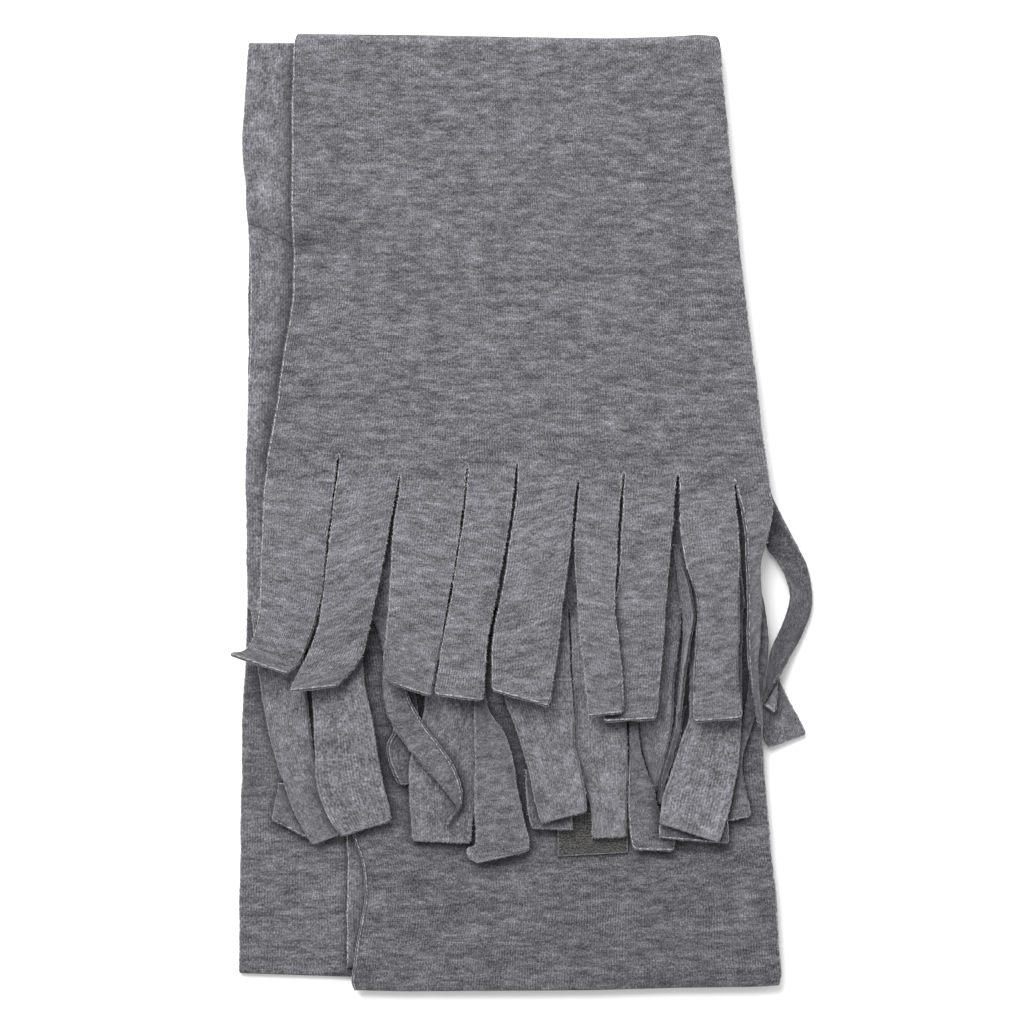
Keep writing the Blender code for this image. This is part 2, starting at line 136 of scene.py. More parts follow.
# How far each fold strays from a straight line. Columns: x, shift in y
TOP_FOLD_LINE = (
    (-79, 0.6),
    (-40, 0.2),
    (0, -0.5),
    (35, -1.1),
    (55, -0.6),
    (68, 0.2),
    (76, -0.3),
)
BOTTOM_FOLD_FRONT_LINE = ((-58, 0.1), (-40, -0.3), (30, 0.1), (60, 1), (90, 1.4), (98, 1.9))
BOTTOM_FOLD_BACK_LINE = ((-99, 0.2), (-60, -1.2), (83, -1.2))

# The four lowest lengths of cloth, from the bottom up. up: the side that lies up. start, stop: its level
# run along y. flush: where along y its end meets other cloth. folds_from: the level that its bottom fold
# comes from. roll: how far its left edge turns up in front. tone: how much lighter its yarn is, partly
# painted shading.
Turn = namedtuple(
    "Turn",
    "piece node up level edges step start stop flush folds_from fold_line roll tone",
    defaults=((), None, None, 0.0, 0.0),
)
TURNS = (
    Turn("turn_1", "folded_core", "brushed", TURN_1, TURN_1_EDGES, COARSE, 162.5, -160.5,
         flush=(162.5, -160.5)),
    Turn("turn_2", "second_turn_edge", "knit", TURN_2, TURN_2_EDGES, MIDDLING, 169.4, BOTTOM_FOLD_BACK_Y,
         folds_from=TURN_1, fold_line=BOTTOM_FOLD_BACK_LINE),
    Turn("turn_3", "third_turn_edge", "brushed", TURN_3, TURN_3_EDGES, COARSE, 170.0, -165.5,
         flush=(-165.5,)),
    Turn("lower_panel_cloth", "lower_panel", "knit", LOWER, LOWER_EDGES, MIDDLING, 162.0, BOTTOM_FOLD_FRONT_Y,
         flush=(162.0, -165.5), folds_from=TURN_3, fold_line=BOTTOM_FOLD_FRONT_LINE, roll=0.6, tone=-0.08),
)
FOLD_ROUND = 1.2  # how far the corners of a bottom fold are cut round
TOP_FOLD_ROUND = 1.5
FOLD_DROOP = 0.8  # how far the lower panel's fold hangs below its level
DROOP_FROM_Y = -166.5
DROOP_REACH = 6.0
EDGE_IN_VIEW_Y = -95.0  # in front of this the left edge of the lower panel shows

# Large forms of the two ends
FIRST_LIFT = 1.0  # how far the first end's left edge stands off what it lies on
FIRST_LIFT_REACH = 6.0
FIRST_PUFF = 1.7  # how far the first end stands off the second near its cuts
FIRST_PUFF_FROM_Y = 70.0
FIRST_PUFF_REACH = 55.0
FIRST_CUTS_FROM_Y = 29.5
SECOND_SWELL = 1.5  # where the second end comes out from under the first
SECOND_SWELL_REACH = 4.5
MOST_SAG = 2.6  # the second end sags past the left edge of the panel below it
SAG_BEND = 0.0034  # times the square of the way past that edge

# The crease across the left edges of both ends. Columns: x, y of its foot
CREASE_LINE = (
    (-96.0, 105.3),
    (-88.0, 102.5),
    (-79.0, 97.3),
    (-66.0, 96.0),
)
CREASE_ROWS = (112.0, 94.0)  # stretch with close rows of points
CREASE_SPACING = 0.5
CREASE_STEP = 0.12  # share of its height that is a sharp step
CREASE_SLOPE = 7.0
CREASE_FALL = 16.0
CREASE_FADE = 20.0
CREASE_OVERHANG = 1.0
SECOND_CREASE = (4.4, -60.0)  # height, and the x where it ends
FIRST_CREASE = (4.0, -54.0)

# Where a length of cloth stops and its strips begin, at each cut. Columns: x, y
FIRST_CUTS = (
    (-88.5, 18.5),
    (-62.5, 21),
    (-40.5, 13.5),
    (-16, 17),
    (2, 18),
    (24, 12),
    (40.5, 14.5),
    (60, 14),
    (80.5, 11.5),
    (93.5, 8),
)
SECOND_CUT_Y = -34.3
SECOND_CUTS = tuple(
    (x, SECOND_CUT_Y) for x in (-96, -75.2, -54.8, -38, -32, -14.8, -9.5, -5.5, 20.5, 41, 62.5, 84.5)
)

# Fringe strips, from root to tip. Columns of rows: left x, left y, right x, right y, and how far the left
# and the right side lie above the level, where that isn't 0. face: the side that lies up. between: the cuts
# it hangs from. over: the strips that it lies on. tip: how far its cut end curls up. lift: how far it stands
# up towards its tip. roll: how far its left and right edges turn up, from 0 for flat to 1 for upright.
# tone: how much lighter than the rest its yarn is, partly painted shading. raw: how much loose fibre,
# partly painted highlight, its two sides show.
Strip = namedtuple(
    "Strip",
    "face rows between over tip lift roll tone raw",
    defaults=(None, (), 0.0, 0.0, (0, 0), 0.0, (1.0, 1.0)),
)
FIRST_FRINGE = {
    "07": Strip("knit", between=(6, 7), tip=1.6, lift=2.0, rows=(
        (40.5, 14, 60, 13.5),
        (39, -7, 58, -7),
        (38.5, -21.5, 57, -21.5),
        (36, -36, 55.5, -36),
        (35, -48, 55, -48),
        (33.5, -62, 53.5, -62),
        (32.5, -75.5, 52.5, -74.5),
    )),
    "01": Strip("knit", between=(0, 1), tip=1.2, lift=3.4, rows=(
        (-88.5, 18, -62.5, 20.5),
        (-90, 4.5, -64.5, 4.5),
        (-90.5, -12, -66.5, -12, -0.3, 0),
        (-91, -27, -68, -28, -0.6, 0),
        (-92.5, -42, -71.5, -43.5, -0.7, 0),
        (-96.5, -49.5, -76, -54, -0.6, 0),
        (-102.5, -51, -80.5, -58.5, -0.4, 0),
    )),
    "02": Strip("knit", between=(1, 2), tip=1.4, lift=4.0, rows=(
        (-62.5, 20.5, -40.5, 13),
        (-64.5, 4.5, -42, 4.5),
        (-66.5, -12, -45, -12),
        (-68, -28, -48, -28),
        (-71, -43.5, -51.5, -43.5),
        (-75.5, -54.5, -54.5, -53.5),
        (-80.5, -64.5, -62, -62.5, 0.1, 0.3),
    )),
    "03": Strip("knit", between=(2, 3), tip=1.6, lift=4.2, rows=(
        (-40.5, 13, -16, 16.5),
        (-41.5, 4.5, -17, 4.5),
        (-43.5, -7, -18.5, -7),
        (-44, -23, -21, -23),
        (-46, -48, -25.5, -48),
        (-46, -58, -27.5, -59, 0.1, 0),
        (-43.5, -61.5, -28.5, -66.5, 0.3, 0.1),
    )),
    "04": Strip("knit", between=(3, 4), tip=1.6, lift=4.0, rows=(
        (-16, 16.5, 2, 17.5),
        (-17, 4.5, 0.5, 4.5),
        (-18.5, -7, -1, -7),
        (-21, -23, -4, -23),
        (-25.5, -48, -8.5, -48),
        (-28.5, -65.5, -10, -68, 0, 0.2),
    )),
    "05": Strip("knit", between=(4, 5), tip=1.6, lift=4.1, rows=(
        (2, 17.5, 24, 11.5),
        (1, 4.5, 23, 4.5),
        (-0.5, -7, 22, -7),
        (-3, -23, 20, -23),
        (-7.5, -48, 17, -48),
        (-7.5, -64, 14, -70, 0.1, 0.3),
    )),
    "06": Strip("knit", between=(5, 6), over=("07",), tip=1.4, lift=2.2, rows=(
        (24, 11.5, 40.5, 14),
        (22.5, -7, 38.5, -7),
        (22.5, -21.5, 38, -21.5, 0, 1.4),
        (23.5, -36, 37.5, -36, 0.3, 1.9),
        (24.5, -48, 39, -48, 0.9, 2.1),
        (26, -62, 40.5, -62, 1.3, 2.2),
        (27.5, -73.5, 40.5, -72, 1.5, 2.2),
    )),
    "11_narrow": Strip("brushed", tip=0.3, lift=0.6, roll=(0.0, 0.6), rows=(
        (58.2, -12, 60.5, -12, -2.2, -2.2),
        (59, -20, 62.8, -20, -2.2, -2.2),
        (60.5, -30, 65.5, -30, -1.8, -2),
        (61.6, -38, 66.5, -38, -1.4, -1.4),
        (61.3, -48, 64.6, -47.5, -1, -0.2),
        (60.6, -60, 62.8, -61, -1, -0.2),
        (59.8, -72, 61.2, -74, -1.2, -0.4),
    )),
    "08": Strip("knit", between=(7, 8), tip=1.5, lift=3.8, rows=(
        (60, 13.5, 80.5, 11),
        (60.5, -7, 82, -7),
        (62.5, -20, 82.2, -20),
        (66.5, -32, 82.2, -32),
        (66, -43, 82, -43.5),
        (65, -56.5, 81.6, -56.5),
        (65, -75.5, 83, -74, 0.1, 0.1),
    )),
    # its left rim's light dots are raised, partly painted highlight
    "09": Strip("knit", between=(8, 9), tip=0.4, lift=1.8, roll=(1.0, 0), raw=(1.4, 1.0), rows=(
        (80.5, 11, 93.4, 7.5, 0, -0.2),
        (82, 0.5, 94.6, 1, 0, -0.6),
        (83.3, -8.5, 92.6, -10, 0, -0.9),
        (83.9, -20, 89.9, -20, 0, -1),
        (84.1, -32, 90.5, -32, 0, -1.3),
        (84, -43.5, 90, -43.5, 0, -1.5),
        (84.8, -57, 88.8, -57, -0.4, -1.6),
        (88, -76, 91, -78, -1.6, -2.2),
    )),
}
TWISTED = {
    "tail": Strip("brushed", tip=0.3, tone=-0.1, raw=(0.7, 0.7), rows=(
        (92.5, -60, 97.3, -60.5, -4.9, -4.9),
        (91.2, -67, 100.6, -67.5, -4.9, -5.4),
        (91, -74.5, 104.1, -73.5, -5.2, -6.4),
        (91.2, -82.5, 106.9, -78.8, -6.2, -7.3),
        (92.6, -86.2, 107.7, -80.8, -6.8, -7.7),
    )),
    # painted light: this knit corner's yarn is lightened where the loop's end shades it
    "turn": Strip("knit", tip=0.6, tone=0.3, rows=(
        (95.6, -60.2, 97, -60.6, -3.6, -3.4),
        (93, -65.2, 96.5, -66.8, -3.4, -2.8),
        (90.8, -69.4, 95.8, -73.4, -3.2, -2.6),
    )),
    # painted shade: the loop's yarn is darkened where it lies turned from the light beside the stack
    "loop": Strip("brushed", tone=-0.45, raw=(0.1, 0.5), rows=(
        (92, 9.5, 93.3, 8.5, -1.6, -0.8),
        (91.8, 5.5, 94.6, 4.8, -3.8, -2),
        (92.2, -12.5, 101.2, -7, -6.8, -4),
        (95.8, -17.8, 105.4, -14.2, -5.6, -5.4),
        (98.8, -23.2, 107.9, -20, -4, -6.6),
        (100.7, -29.5, 109.5, -29, -2.2, -7.6),
        (99.6, -36, 108.9, -37.5, -2.2, -7.5),
        (97, -42.5, 105.8, -45.5, -2.6, -6.9),
        (94.2, -49, 101.9, -52.4, -3, -5.6),
        (92.7, -55.7, 98.2, -58.4, -2.8, -3.6),
        (92.2, -61.5, 96.2, -60.6, -2.4, -2.4),
        (91.2, -66.8, 93.2, -65.2, -2, -1.9),
        (90.6, -69.2, 91.4, -68.4, -1.9, -1.7),
    )),
}
SECOND_FRINGE = {
    "02_corner": Strip("knit", tip=0.5, rows=(
        (-85, -98.5, -80, -98.5, -2.8, -2.8),
        (-86, -103.5, -78.5, -104, -2.8, -2.8),
        (-87.3, -109, -75, -113, -2.5, -2.6),
        (-87.8, -111.3, -73.2, -118.8, -2.2, -2.4),
    )),
    "01": Strip("brushed", between=(0, 1), over=("02_corner",), tip=0.8, lift=1.2, rows=(
        (-95.5, -34.5, -75.5, -34.5, -2.4, -0.8),
        (-92, -61, -74.4, -61.5, -1.8, -1.2),
        (-89.5, -76, -72.8, -76, -1.6, -1.3),
        (-83.5, -97.5, -69.5, -97, -1.6, -1.5),
        (-79, -110, -65.5, -109.5, -2.2, -2.2),
        (-72.5, -121, -61.5, -116.5, -2.8, -2.9),
    )),
    # painted shade darkens this curled strip, and its left rim's light dots are mostly painted highlight
    "04_curled": Strip("brushed", tip=0.3, lift=0.6, roll=(1.0, 0), tone=-0.25, raw=(3.0, 1.0), rows=(
        (-43.6, -60, -35.5, -60, -0.8, -0.8),
        (-43.4, -74, -33.5, -74, 0.2, -0.8),
        (-43.8, -80, -33, -80, 0.8, -0.8),
        (-45.8, -84, -33, -84, 1.2, -0.8),
        (-45.8, -88, -33.5, -88, 1.4, -0.8),
        (-44.3, -92.5, -34, -92.5, 1.4, -0.8),
        (-42.3, -96.8, -34.5, -96.6, 1.2, -0.8),
        (-41.3, -98.9, -35, -98.4, 1, -0.8),
    )),
    "03": Strip("brushed", between=(1, 2), over=("01", "04_curled"), tip=0.9, lift=1.8, rows=(
        (-75, -34.5, -55, -34.5),
        (-73, -64.5, -52.5, -64, 0, 1.2),
        (-72, -76, -50, -75.5, 0, 1.8),
        (-71, -99, -46, -98.5, 0, 1.6),
        (-67, -110, -44, -106.5, 0, 1),
        (-62.5, -117.5, -43, -111.5, 0, 0.6),
    )),
    "06": Strip("brushed", between=(4, 5), over=("04_curled",), tip=0.5, lift=1.0, rows=(
        (-32, -34.5, -15, -34.5),
        (-32, -70, -13, -70),
        (-33.5, -77, -13, -77),
        (-37.5, -90.5, -13, -90.5, 0, -0.2),
        (-37.5, -102.5, -13.2, -102.5, 0, -0.2),
        (-36.5, -119, -14.2, -120),
    )),
    "05_twisted": Strip("knit", between=(2, 3), over=("06", "04_curled"), tip=0.3, lift=0.3,
                        roll=(0, 1.0), raw=(0.1, 1.5), rows=(
        (-54.5, -34.5, -38, -34.5),
        (-49, -43, -37, -42.5),
        (-46.8, -52, -36.5, -51),
        (-47.3, -61, -37.5, -60, 0, 0.4),
        (-46.6, -69.5, -36.2, -67.8, 0.1, 1.2),
        (-42.9, -78.5, -31.5, -76.2, 0.5, 2.2),
        (-38.7, -84.3, -27.2, -81.7, 1, 2.8),
        (-34, -90.6, -23.4, -86.4, 1.5, 3.1),
        (-29.3, -95.8, -20.6, -91.2, 1.8, 3.2),
        (-25.1, -100.5, -18.4, -96.6, 1.9, 3.1),
        (-21.8, -104.2, -17.6, -100.8, 1.9, 3),
        (-20, -107, -18, -105.2, 1.9, 2.8),
        (-23.8, -112.4, -23.2, -114.4, 1.8, 2.1),
    )),
    "07": Strip("knit", between=(5, 6), over=("06",), tip=0.6, lift=1.6, raw=(0.4, 0.4), rows=(
        (-14.5, -34.5, -9.5, -34.5),
        (-14, -69, -9, -69),
        (-14, -83, -1.5, -82),
        (-14, -105.5, 3.5, -105),
        (-14, -120.5, 6.5, -119),
        (-17, -122, 6.5, -120.5),
        (-15, -127.5, 7, -122.5),
    )),
    "08_under": Strip("brushed", tip=0.4, lift=0.8, rows=(
        (4.5, -93.5, 19.5, -93.5),
        (5, -106.5, 21.5, -106.5, 0.75, 0.75),
        (6.5, -114.5, 23, -115, 0.75, 0.75),
    )),
    "10": Strip("brushed", between=(8, 9), tip=0.6, lift=0.4, tone=0.08, rows=(
        (20.5, -34.5, 41, -34.5),
        (22, -68, 41.5, -68, -0.3, 0),
        (22.5, -86, 42.4, -84.5, -0.3, 0),
        (25, -99, 42.4, -99, 0, 0.2),
        (28, -106.5, 42, -106.5, 0.75, 0.75),
        (28.5, -118, 42, -117.5, 0.75, 0.75),
    )),
    "09": Strip("brushed", between=(7, 8), over=("08_under", "10"), tip=0.6, lift=1.6, rows=(
        (-5.5, -34.5, 20.5, -34.5),
        (-3, -68, 22.5, -68),
        (0.5, -77, 23, -76),
        (3.5, -86, 23.5, -85.5, 0.8, 0.8),
        (5, -91, 25, -91, 1.8, 1.8),
        (7.5, -103.5, 27, -102.5, 2.5, 2.5),
        (10, -112.5, 27.5, -108, 2.5, 2.5),
    )),
    "11": Strip("knit", tip=0.9, lift=1.4, roll=(0.5, 0), rows=(
        (41.5, -34.5, 45.5, -34.5),
        (42.5, -52, 45.5, -52),
        (43, -64.5, 45.5, -64.5),
        (41.9, -84.5, 46.5, -84.5),
        (41.8, -93.5, 49, -93.5),
        (41.7, -101, 52, -101),
        (41.7, -109, 54, -109),
        (42, -116, 58.5, -116),
        (43.2, -122, 59, -122.5),
    )),
    "12": Strip("brushed", lift=0.2, rows=(
        (44.8, -34.5, 62, -34.5, -1.4, 0),
        (45, -52, 60.5, -52, -1.4, 0),
        (45, -64.5, 59.2, -64.5, -1.4, 0),
        (45.4, -76, 58.4, -77.5, -1.4, 0),
        (46.4, -84.5, 57.1, -84.5, -1.4, -0.1),
        (48.9, -93.5, 54.9, -93.5, -1.4, -0.3),
        (50.8, -101.5, 52.4, -101.5, -1.4, -0.6),
    )),
    "13_narrow": Strip("brushed", lift=0.3, roll=(0.4, 0), rows=(
        (59.5, -70.5, 63.3, -70.5, -0.4, -0.8),
        (57.7, -81.5, 61.2, -82, -0.6, -1),
        (55.5, -89, 59.2, -90, -0.6, -1),
        (53.3, -97, 56.8, -98, -0.6, -1),
        (52.3, -105.5, 54.6, -106, -0.6, -1),
    )),
    "14_under": Strip("knit", over=("11",), tip=0.6, lift=0.8, rows=(
        (56.5, -102.5, 77, -104.5, 1.2, 0.1),
        (53.5, -109.5, 78.5, -111, 2.1, 0.2),
        (52.5, -117.5, 79, -120, 2.3, 0.3),
    )),
    "15": Strip("brushed", between=(10, 11), over=("11", "13_narrow", "14_under"), tip=0.5,
                lift=1.4, tone=0.08, rows=(
        (62.5, -34.5, 84, -34.5),
        (63.8, -74, 83.5, -74),
        (60.6, -82.5, 83, -83.5, 0.1, 0.1),
        (58.7, -89, 82.5, -90.5, 0.9, 0.7),
        (56.5, -95.5, 81, -97.5, 2.6, 1.6),
        (54, -103, 79.5, -105, 3.7, 2.1),
        (52.5, -112, 75.5, -119.5, 4.2, 2.6),
    )),
    "16": Strip("knit", tip=0.3, lift=0.3, rows=(
        (86, -22, 89.2, -22, -0.4, -0.8),
        (86.2, -27, 90.2, -27, -0.4, -0.9),
        (86.4, -34, 91.9, -34, -0.4, -1.2),
        (86.6, -42.5, 92.8, -42.5, -0.4, -1.4),
        (86.6, -49.5, 93.2, -49.5, -0.4, -1.4),
        (86.2, -57, 92.4, -57, -0.4, -1.4),
        (84.5, -70, 89.5, -70, -0.2, -0.8),
        (81.5, -84, 85, -84),
        (81, -92, 83.5, -92),
        (79.5, -98.5, 84.5, -98.5),
        (78, -105.5, 86, -105.5),
        (77, -112.2, 87, -110),
    )),
}
LABEL_ROWS = (
    # left x, left y, right x, right y
    (16.5, -109.0, 42.0, -109.0),
    (16.5, -125.0, 42.0, -123.5),
)

# How a cut strip lies
CUT_GAP = 0.48
CUT_OPENS = 1.5  # length over which a cut opens to its gap
CORNER_ROUND = 1.3  # radius of the corners at a tip
CORNER_LENGTH = 4.0
ROOT_BLEND = 1.4  # length over which a strip leaves the line of its root
EVEN_ROOT = 5.0  # length over which its edges grow uneven
OWN_SHAPE = 12.0  # length from its root over which a strip takes on its own curl
KNIT_CROWN = 0.45  # the long edges of a strip curl towards its brushed side
BRUSHED_EDGE_LIFT = 0.35
LIFT_SHARE = 0.65  # share of its length over which a strip rises
LIFT_BEND = 1.4
CURL_REACH = 2.4  # length of cloth that curls up at a tip
CURL_UNEVEN = 0.35
ROLL_REACH = 1.9  # how much cloth a rolled edge takes
ROLL_ANGLE = 1.45  # how far it turns, in radians, when upright
ROLL_STARTS = 8.0  # length from its root over which an edge starts to roll
SWELL = 0.5
EDGE_WANDER = 0.055  # unevenness of every raw edge
BRUSHED_RAW = 0.3  # a raw edge shows less on the brushed side
RISES_OVER = 3.0  # length from its root over which a strip rises onto others
STRETCHED = 1.3  # a strip this much wider than its root shows its own wales
CLOTH_START = 400.0  # where the cloth coordinate along the wales begins, above both ends


# ---------------------------------------------------------------- curves and grids


def hermite(places, rows, wanted):
    """Smooth curves through rows of numbers that belong to places, read at the wanted places."""
    rows = np.asarray(rows, float)
    slope = np.empty_like(rows)
    slope[1:-1] = (rows[2:] - rows[:-2]) / (places[2:] - places[:-2])[:, None]
    slope[0] = (rows[1] - rows[0]) / (places[1] - places[0])
    slope[-1] = (rows[-1] - rows[-2]) / (places[-1] - places[-2])
    k = np.clip(np.searchsorted(places, wanted, side="right") - 1, 0, len(places) - 2)
    span = (places[k + 1] - places[k])[:, None]
    a = (wanted - places[k])[:, None] / span
    start = (2 * a**3 - 3 * a**2 + 1) * rows[k] + (a**3 - 2 * a**2 + a) * span * slope[k]
    return start + (3 * a**2 - 2 * a**3) * rows[k + 1] + (a**3 - a**2) * span * slope[k + 1]


def ramp(value):
    """0 below 0, 1 above 1, and straight in between."""
    return np.clip(value, 0, 1)


def eased(value):
    """As ramp, with soft ends."""
    share = ramp(value)
    return share**2 * (3 - 2 * share)


def spaced(length, step):
    """Places from 0 to length about a step apart, with close ones near each end for the rim."""
    if length < 2.4 * RIM_ROOM[-1]:
        return np.linspace(0, length, 7)
    near = np.array(RIM_ROOM)
    count = max(2, round((length - 2 * near[-1]) / step) + 1)
    middle = np.linspace(near[-1], length - near[-1], count)
    return np.concatenate([near[:-1], middle, length - near[-2::-1]])


def edges_at(table, y):
    """Left and right edge at each y, smoothly between the rows of a (y, left, right) table."""
    rows = np.array(table)[::-1]
    y = np.clip(y, rows[0, 0], rows[-1, 0])
    return hermite(rows[:, 0], rows[:, 1:], y)


def hairpin(centre_y, low, high, outward):
    """(y, z) of a fold from its lower level, round the bend, to its upper level."""
    middle, radius = (low + high) / 2, (high - low) / 2
    path = [(centre_y - outward * d, low) for d in np.linspace(FOLD_RETURN, 0, 4)[:-1]]
    for step in range(FOLD_STEPS + 1):
        angle = -pi / 2 + pi * step / FOLD_STEPS
        path.append((centre_y + outward * radius * cos(angle), middle + radius * sin(angle)))
    return path


def run_of(start, stop, step, z):
    """(y, z) pairs along a level stretch, with the first place left out."""
    places = np.linspace(start, stop, max(2, round(abs(stop - start) / step) + 1))
    return [(y, z) for y in places[1:]]


def wander(length, seed, size):
    """A small uneven offset for each place along a raw-cut edge."""
    random = np.random.default_rng(seed)
    total = np.zeros_like(length)
    for wave, share in ((31.0, 2.2), (13.0, 1.2), (4.3, 0.6), (1.7, 0.5)):
        total += share * np.sin(2 * pi * length / wave + random.uniform(0, 2 * pi))
    return size * total


class Sheet:
    """Mid-surface of a length of cloth: points, cloth coordinates and the four-sided faces between."""

    def __init__(self):
        self.points, self.cloth, self.faces, self.turned, self.looks = [], [], [], [], []
        self.count = 0

    def add(self, grid, u, v, turned=False, raw=1.0, tone=0.0):
        """Adds a grid of points with its cloth coordinates, across the wales and along them.

        turned: its other side lies up. raw: how much loose fibre, partly painted highlight, its edges show.
        """
        shape = grid.shape[:2]
        index = self.count + np.arange(shape[0] * shape[1]).reshape(shape)
        a, b, c, d = index[:-1, :-1], index[1:, :-1], index[1:, 1:], index[:-1, 1:]
        self.points.append(grid.reshape(-1, 3))
        self.cloth.append(np.stack([np.broadcast_to(u, shape), np.broadcast_to(v, shape)], -1).reshape(-1, 2))
        self.faces.append(np.stack([a, b, c, d], axis=-1).reshape(-1, 4))
        self.turned.append(np.full(len(self.faces[-1]), turned))
        self.looks.append(np.stack([np.full(shape, raw), np.broadcast_to(tone, shape)], -1).reshape(-1, 2))
        self.count += shape[0] * shape[1]

    def joined(self):
        """Arrays of points, cloth coordinates, looks and faces, with points in one place made one."""
        points, cloth, looks = (np.concatenate(part) for part in (self.points, self.cloth, self.looks))
        faces = np.concatenate(self.faces)
        places = np.round(points * 1e3).astype(np.int64)
        _, first, back = np.unique(places, axis=0, return_index=True, return_inverse=True)
        return points[first], cloth[first], looks[first], back.reshape(-1)[faces]


# ---------------------------------------------------------------- laying cloth on what is below


class Heights:
    """Top of the cloth laid so far, on a fine square grid."""

    CELL = 0.3
    LOW_X, LOW_Y = -112.0, -182.0
    SIZE_X, SIZE_Y = 232.0, 362.0

    def __init__(self, copied=None):
        shape = (int(self.SIZE_Y / self.CELL), int(self.SIZE_X / self.CELL))
        self.top = np.zeros(shape, np.float32) if copied is None else copied.top.copy()

    def cells(self, x, y):
        """Row and column of the cell that holds each point."""
        column = np.clip(((x - self.LOW_X) / self.CELL).astype(int), 0, self.top.shape[1] - 1)
        row = np.clip(((y - self.LOW_Y) / self.CELL).astype(int), 0, self.top.shape[0] - 1)
        return row, column

    def lay(self, grid):
        """Marks the top of a grid of mid-surface points, made finer than the cells."""
        fine = grid
        for axis in (0, 1):
            steps = np.linalg.norm(np.diff(fine, axis=axis), axis=-1)
            times = int(np.ceil(np.max(steps) / (0.8 * self.CELL)))
            places = np.linspace(0, fine.shape[axis] - 1, (fine.shape[axis] - 1) * times + 1)
            low = np.minimum(places.astype(int), fine.shape[axis] - 2)
            share = places - low
            share = share[:, None, None] if axis == 0 else share[None, :, None]
            fine = np.take(fine, low, axis) * (1 - share) + np.take(fine, low + 1, axis) * share
        row, column = self.cells(fine[..., 0], fine[..., 1])
        np.maximum.at(self.top, (row, column), (fine[..., 2] + HALF).astype(np.float32))

    def merge(self, other):
        self.top = np.maximum(self.top, other.top)

    def under(self, x, y):
        """Height of what lies under each point, widened by one cell all round."""
        row, column = self.cells(x, y)
        found = self.top[row, column]
        for down in (-1, 0, 1):
            for side in (-1, 0, 1):
                near_row = np.clip(row + down, 0, self.top.shape[0] - 1)
                near_column = np.clip(column + side, 0, self.top.shape[1] - 1)
                found = np.maximum(found, self.top[near_row, near_column])
        return found


CLEARANCE = 0.12
SPREADING_ROUNDS = 14


def blurred(values):
    """Each value evened out with its neighbours in the grid."""
    out = values.copy()
    out[1:-1] = 0.25 * values[:-2] + 0.5 * values[1:-1] + 0.25 * values[2:]
    across = out.copy()
    across[:, 1:-1] = 0.25 * out[:, :-2] + 0.5 * out[:, 1:-1] + 0.25 * out[:, 2:]
    return across


def lift_clear(grid, below):
    """How far each point of a grid rises to clear what is below it, with the lift spread softly around."""
    need = below.under(grid[..., 0], grid[..., 1]) + HALF + CLEARANCE
    least = np.maximum(0, need - grid[..., 2])
    lift = least
    for _ in range(SPREADING_ROUNDS):
        lift = np.maximum(least, blurred(lift))
    return lift


# ---------------------------------------------------------------- the lengths of cloth


def level_grid(path, table, shares, seed):
    """A length of cloth that follows (y, z) pairs between the edges of a table."""
    y, z = np.array(path).T
    edges = edges_at(table, y)
    run = np.concatenate([[0], np.cumsum(np.hypot(np.diff(y), np.diff(z)))])
    left = edges[:, 0] + wander(run, 3 + seed, EDGE_WANDER)
    right = edges[:, 1] + wander(run, 5 + seed, EDGE_WANDER)
    x = left[:, None] + (right - left)[:, None] * shares[None, :]
    grid = np.stack([x, np.repeat(y[:, None], len(shares), 1), np.repeat(z[:, None], len(shares), 1)], -1)
    return grid, run


def cut_shares(cuts, step):
    """Shares of the cloth's width with a fine line at each cut, and the column of each cut."""
    start, stop = cuts[0][0], cuts[-1][0]
    shares, columns = [np.array([0.0])], [0]
    for (a, _), (b, _) in zip(cuts, cuts[1:]):
        places = (a + spaced(b - a, step) - start) / (stop - start)
        shares.append(places[1:])
        columns.append(columns[-1] + len(places) - 1)
    return np.concatenate(shares), columns


def to_cuts(grid, cuts, shares, step):
    """Extra rows from a grid's last row to the line of the cuts, where the strips begin."""
    places = np.array(cuts)
    x = places[0, 0] + (places[-1, 0] - places[0, 0]) * shares
    y = np.interp(x, places[:, 0], places[:, 1])
    last = grid[-1]
    goal = np.stack([x, y, last[:, 2]], -1)
    count = max(2, round(np.max(np.linalg.norm(goal - last, axis=1)) / step))
    rows = [last + (goal - last) * k / count for k in range(1, count + 1)]
    return np.concatenate([grid, np.array(rows)])


def roll_up(grid, amount, from_edge, inward):
    """Turns one long edge up round a small bend. amount: 0 flat, 1 upright."""
    angle = np.maximum(ROLL_ANGLE * amount, 1e-3)
    radius = ROLL_REACH / angle
    bent = np.clip(ROLL_REACH - from_edge, 0, ROLL_REACH)
    turn = bent / radius
    grid += inward * (bent - radius * np.sin(turn))[..., None]
    grid[..., 2] += radius * (1 - np.cos(turn))


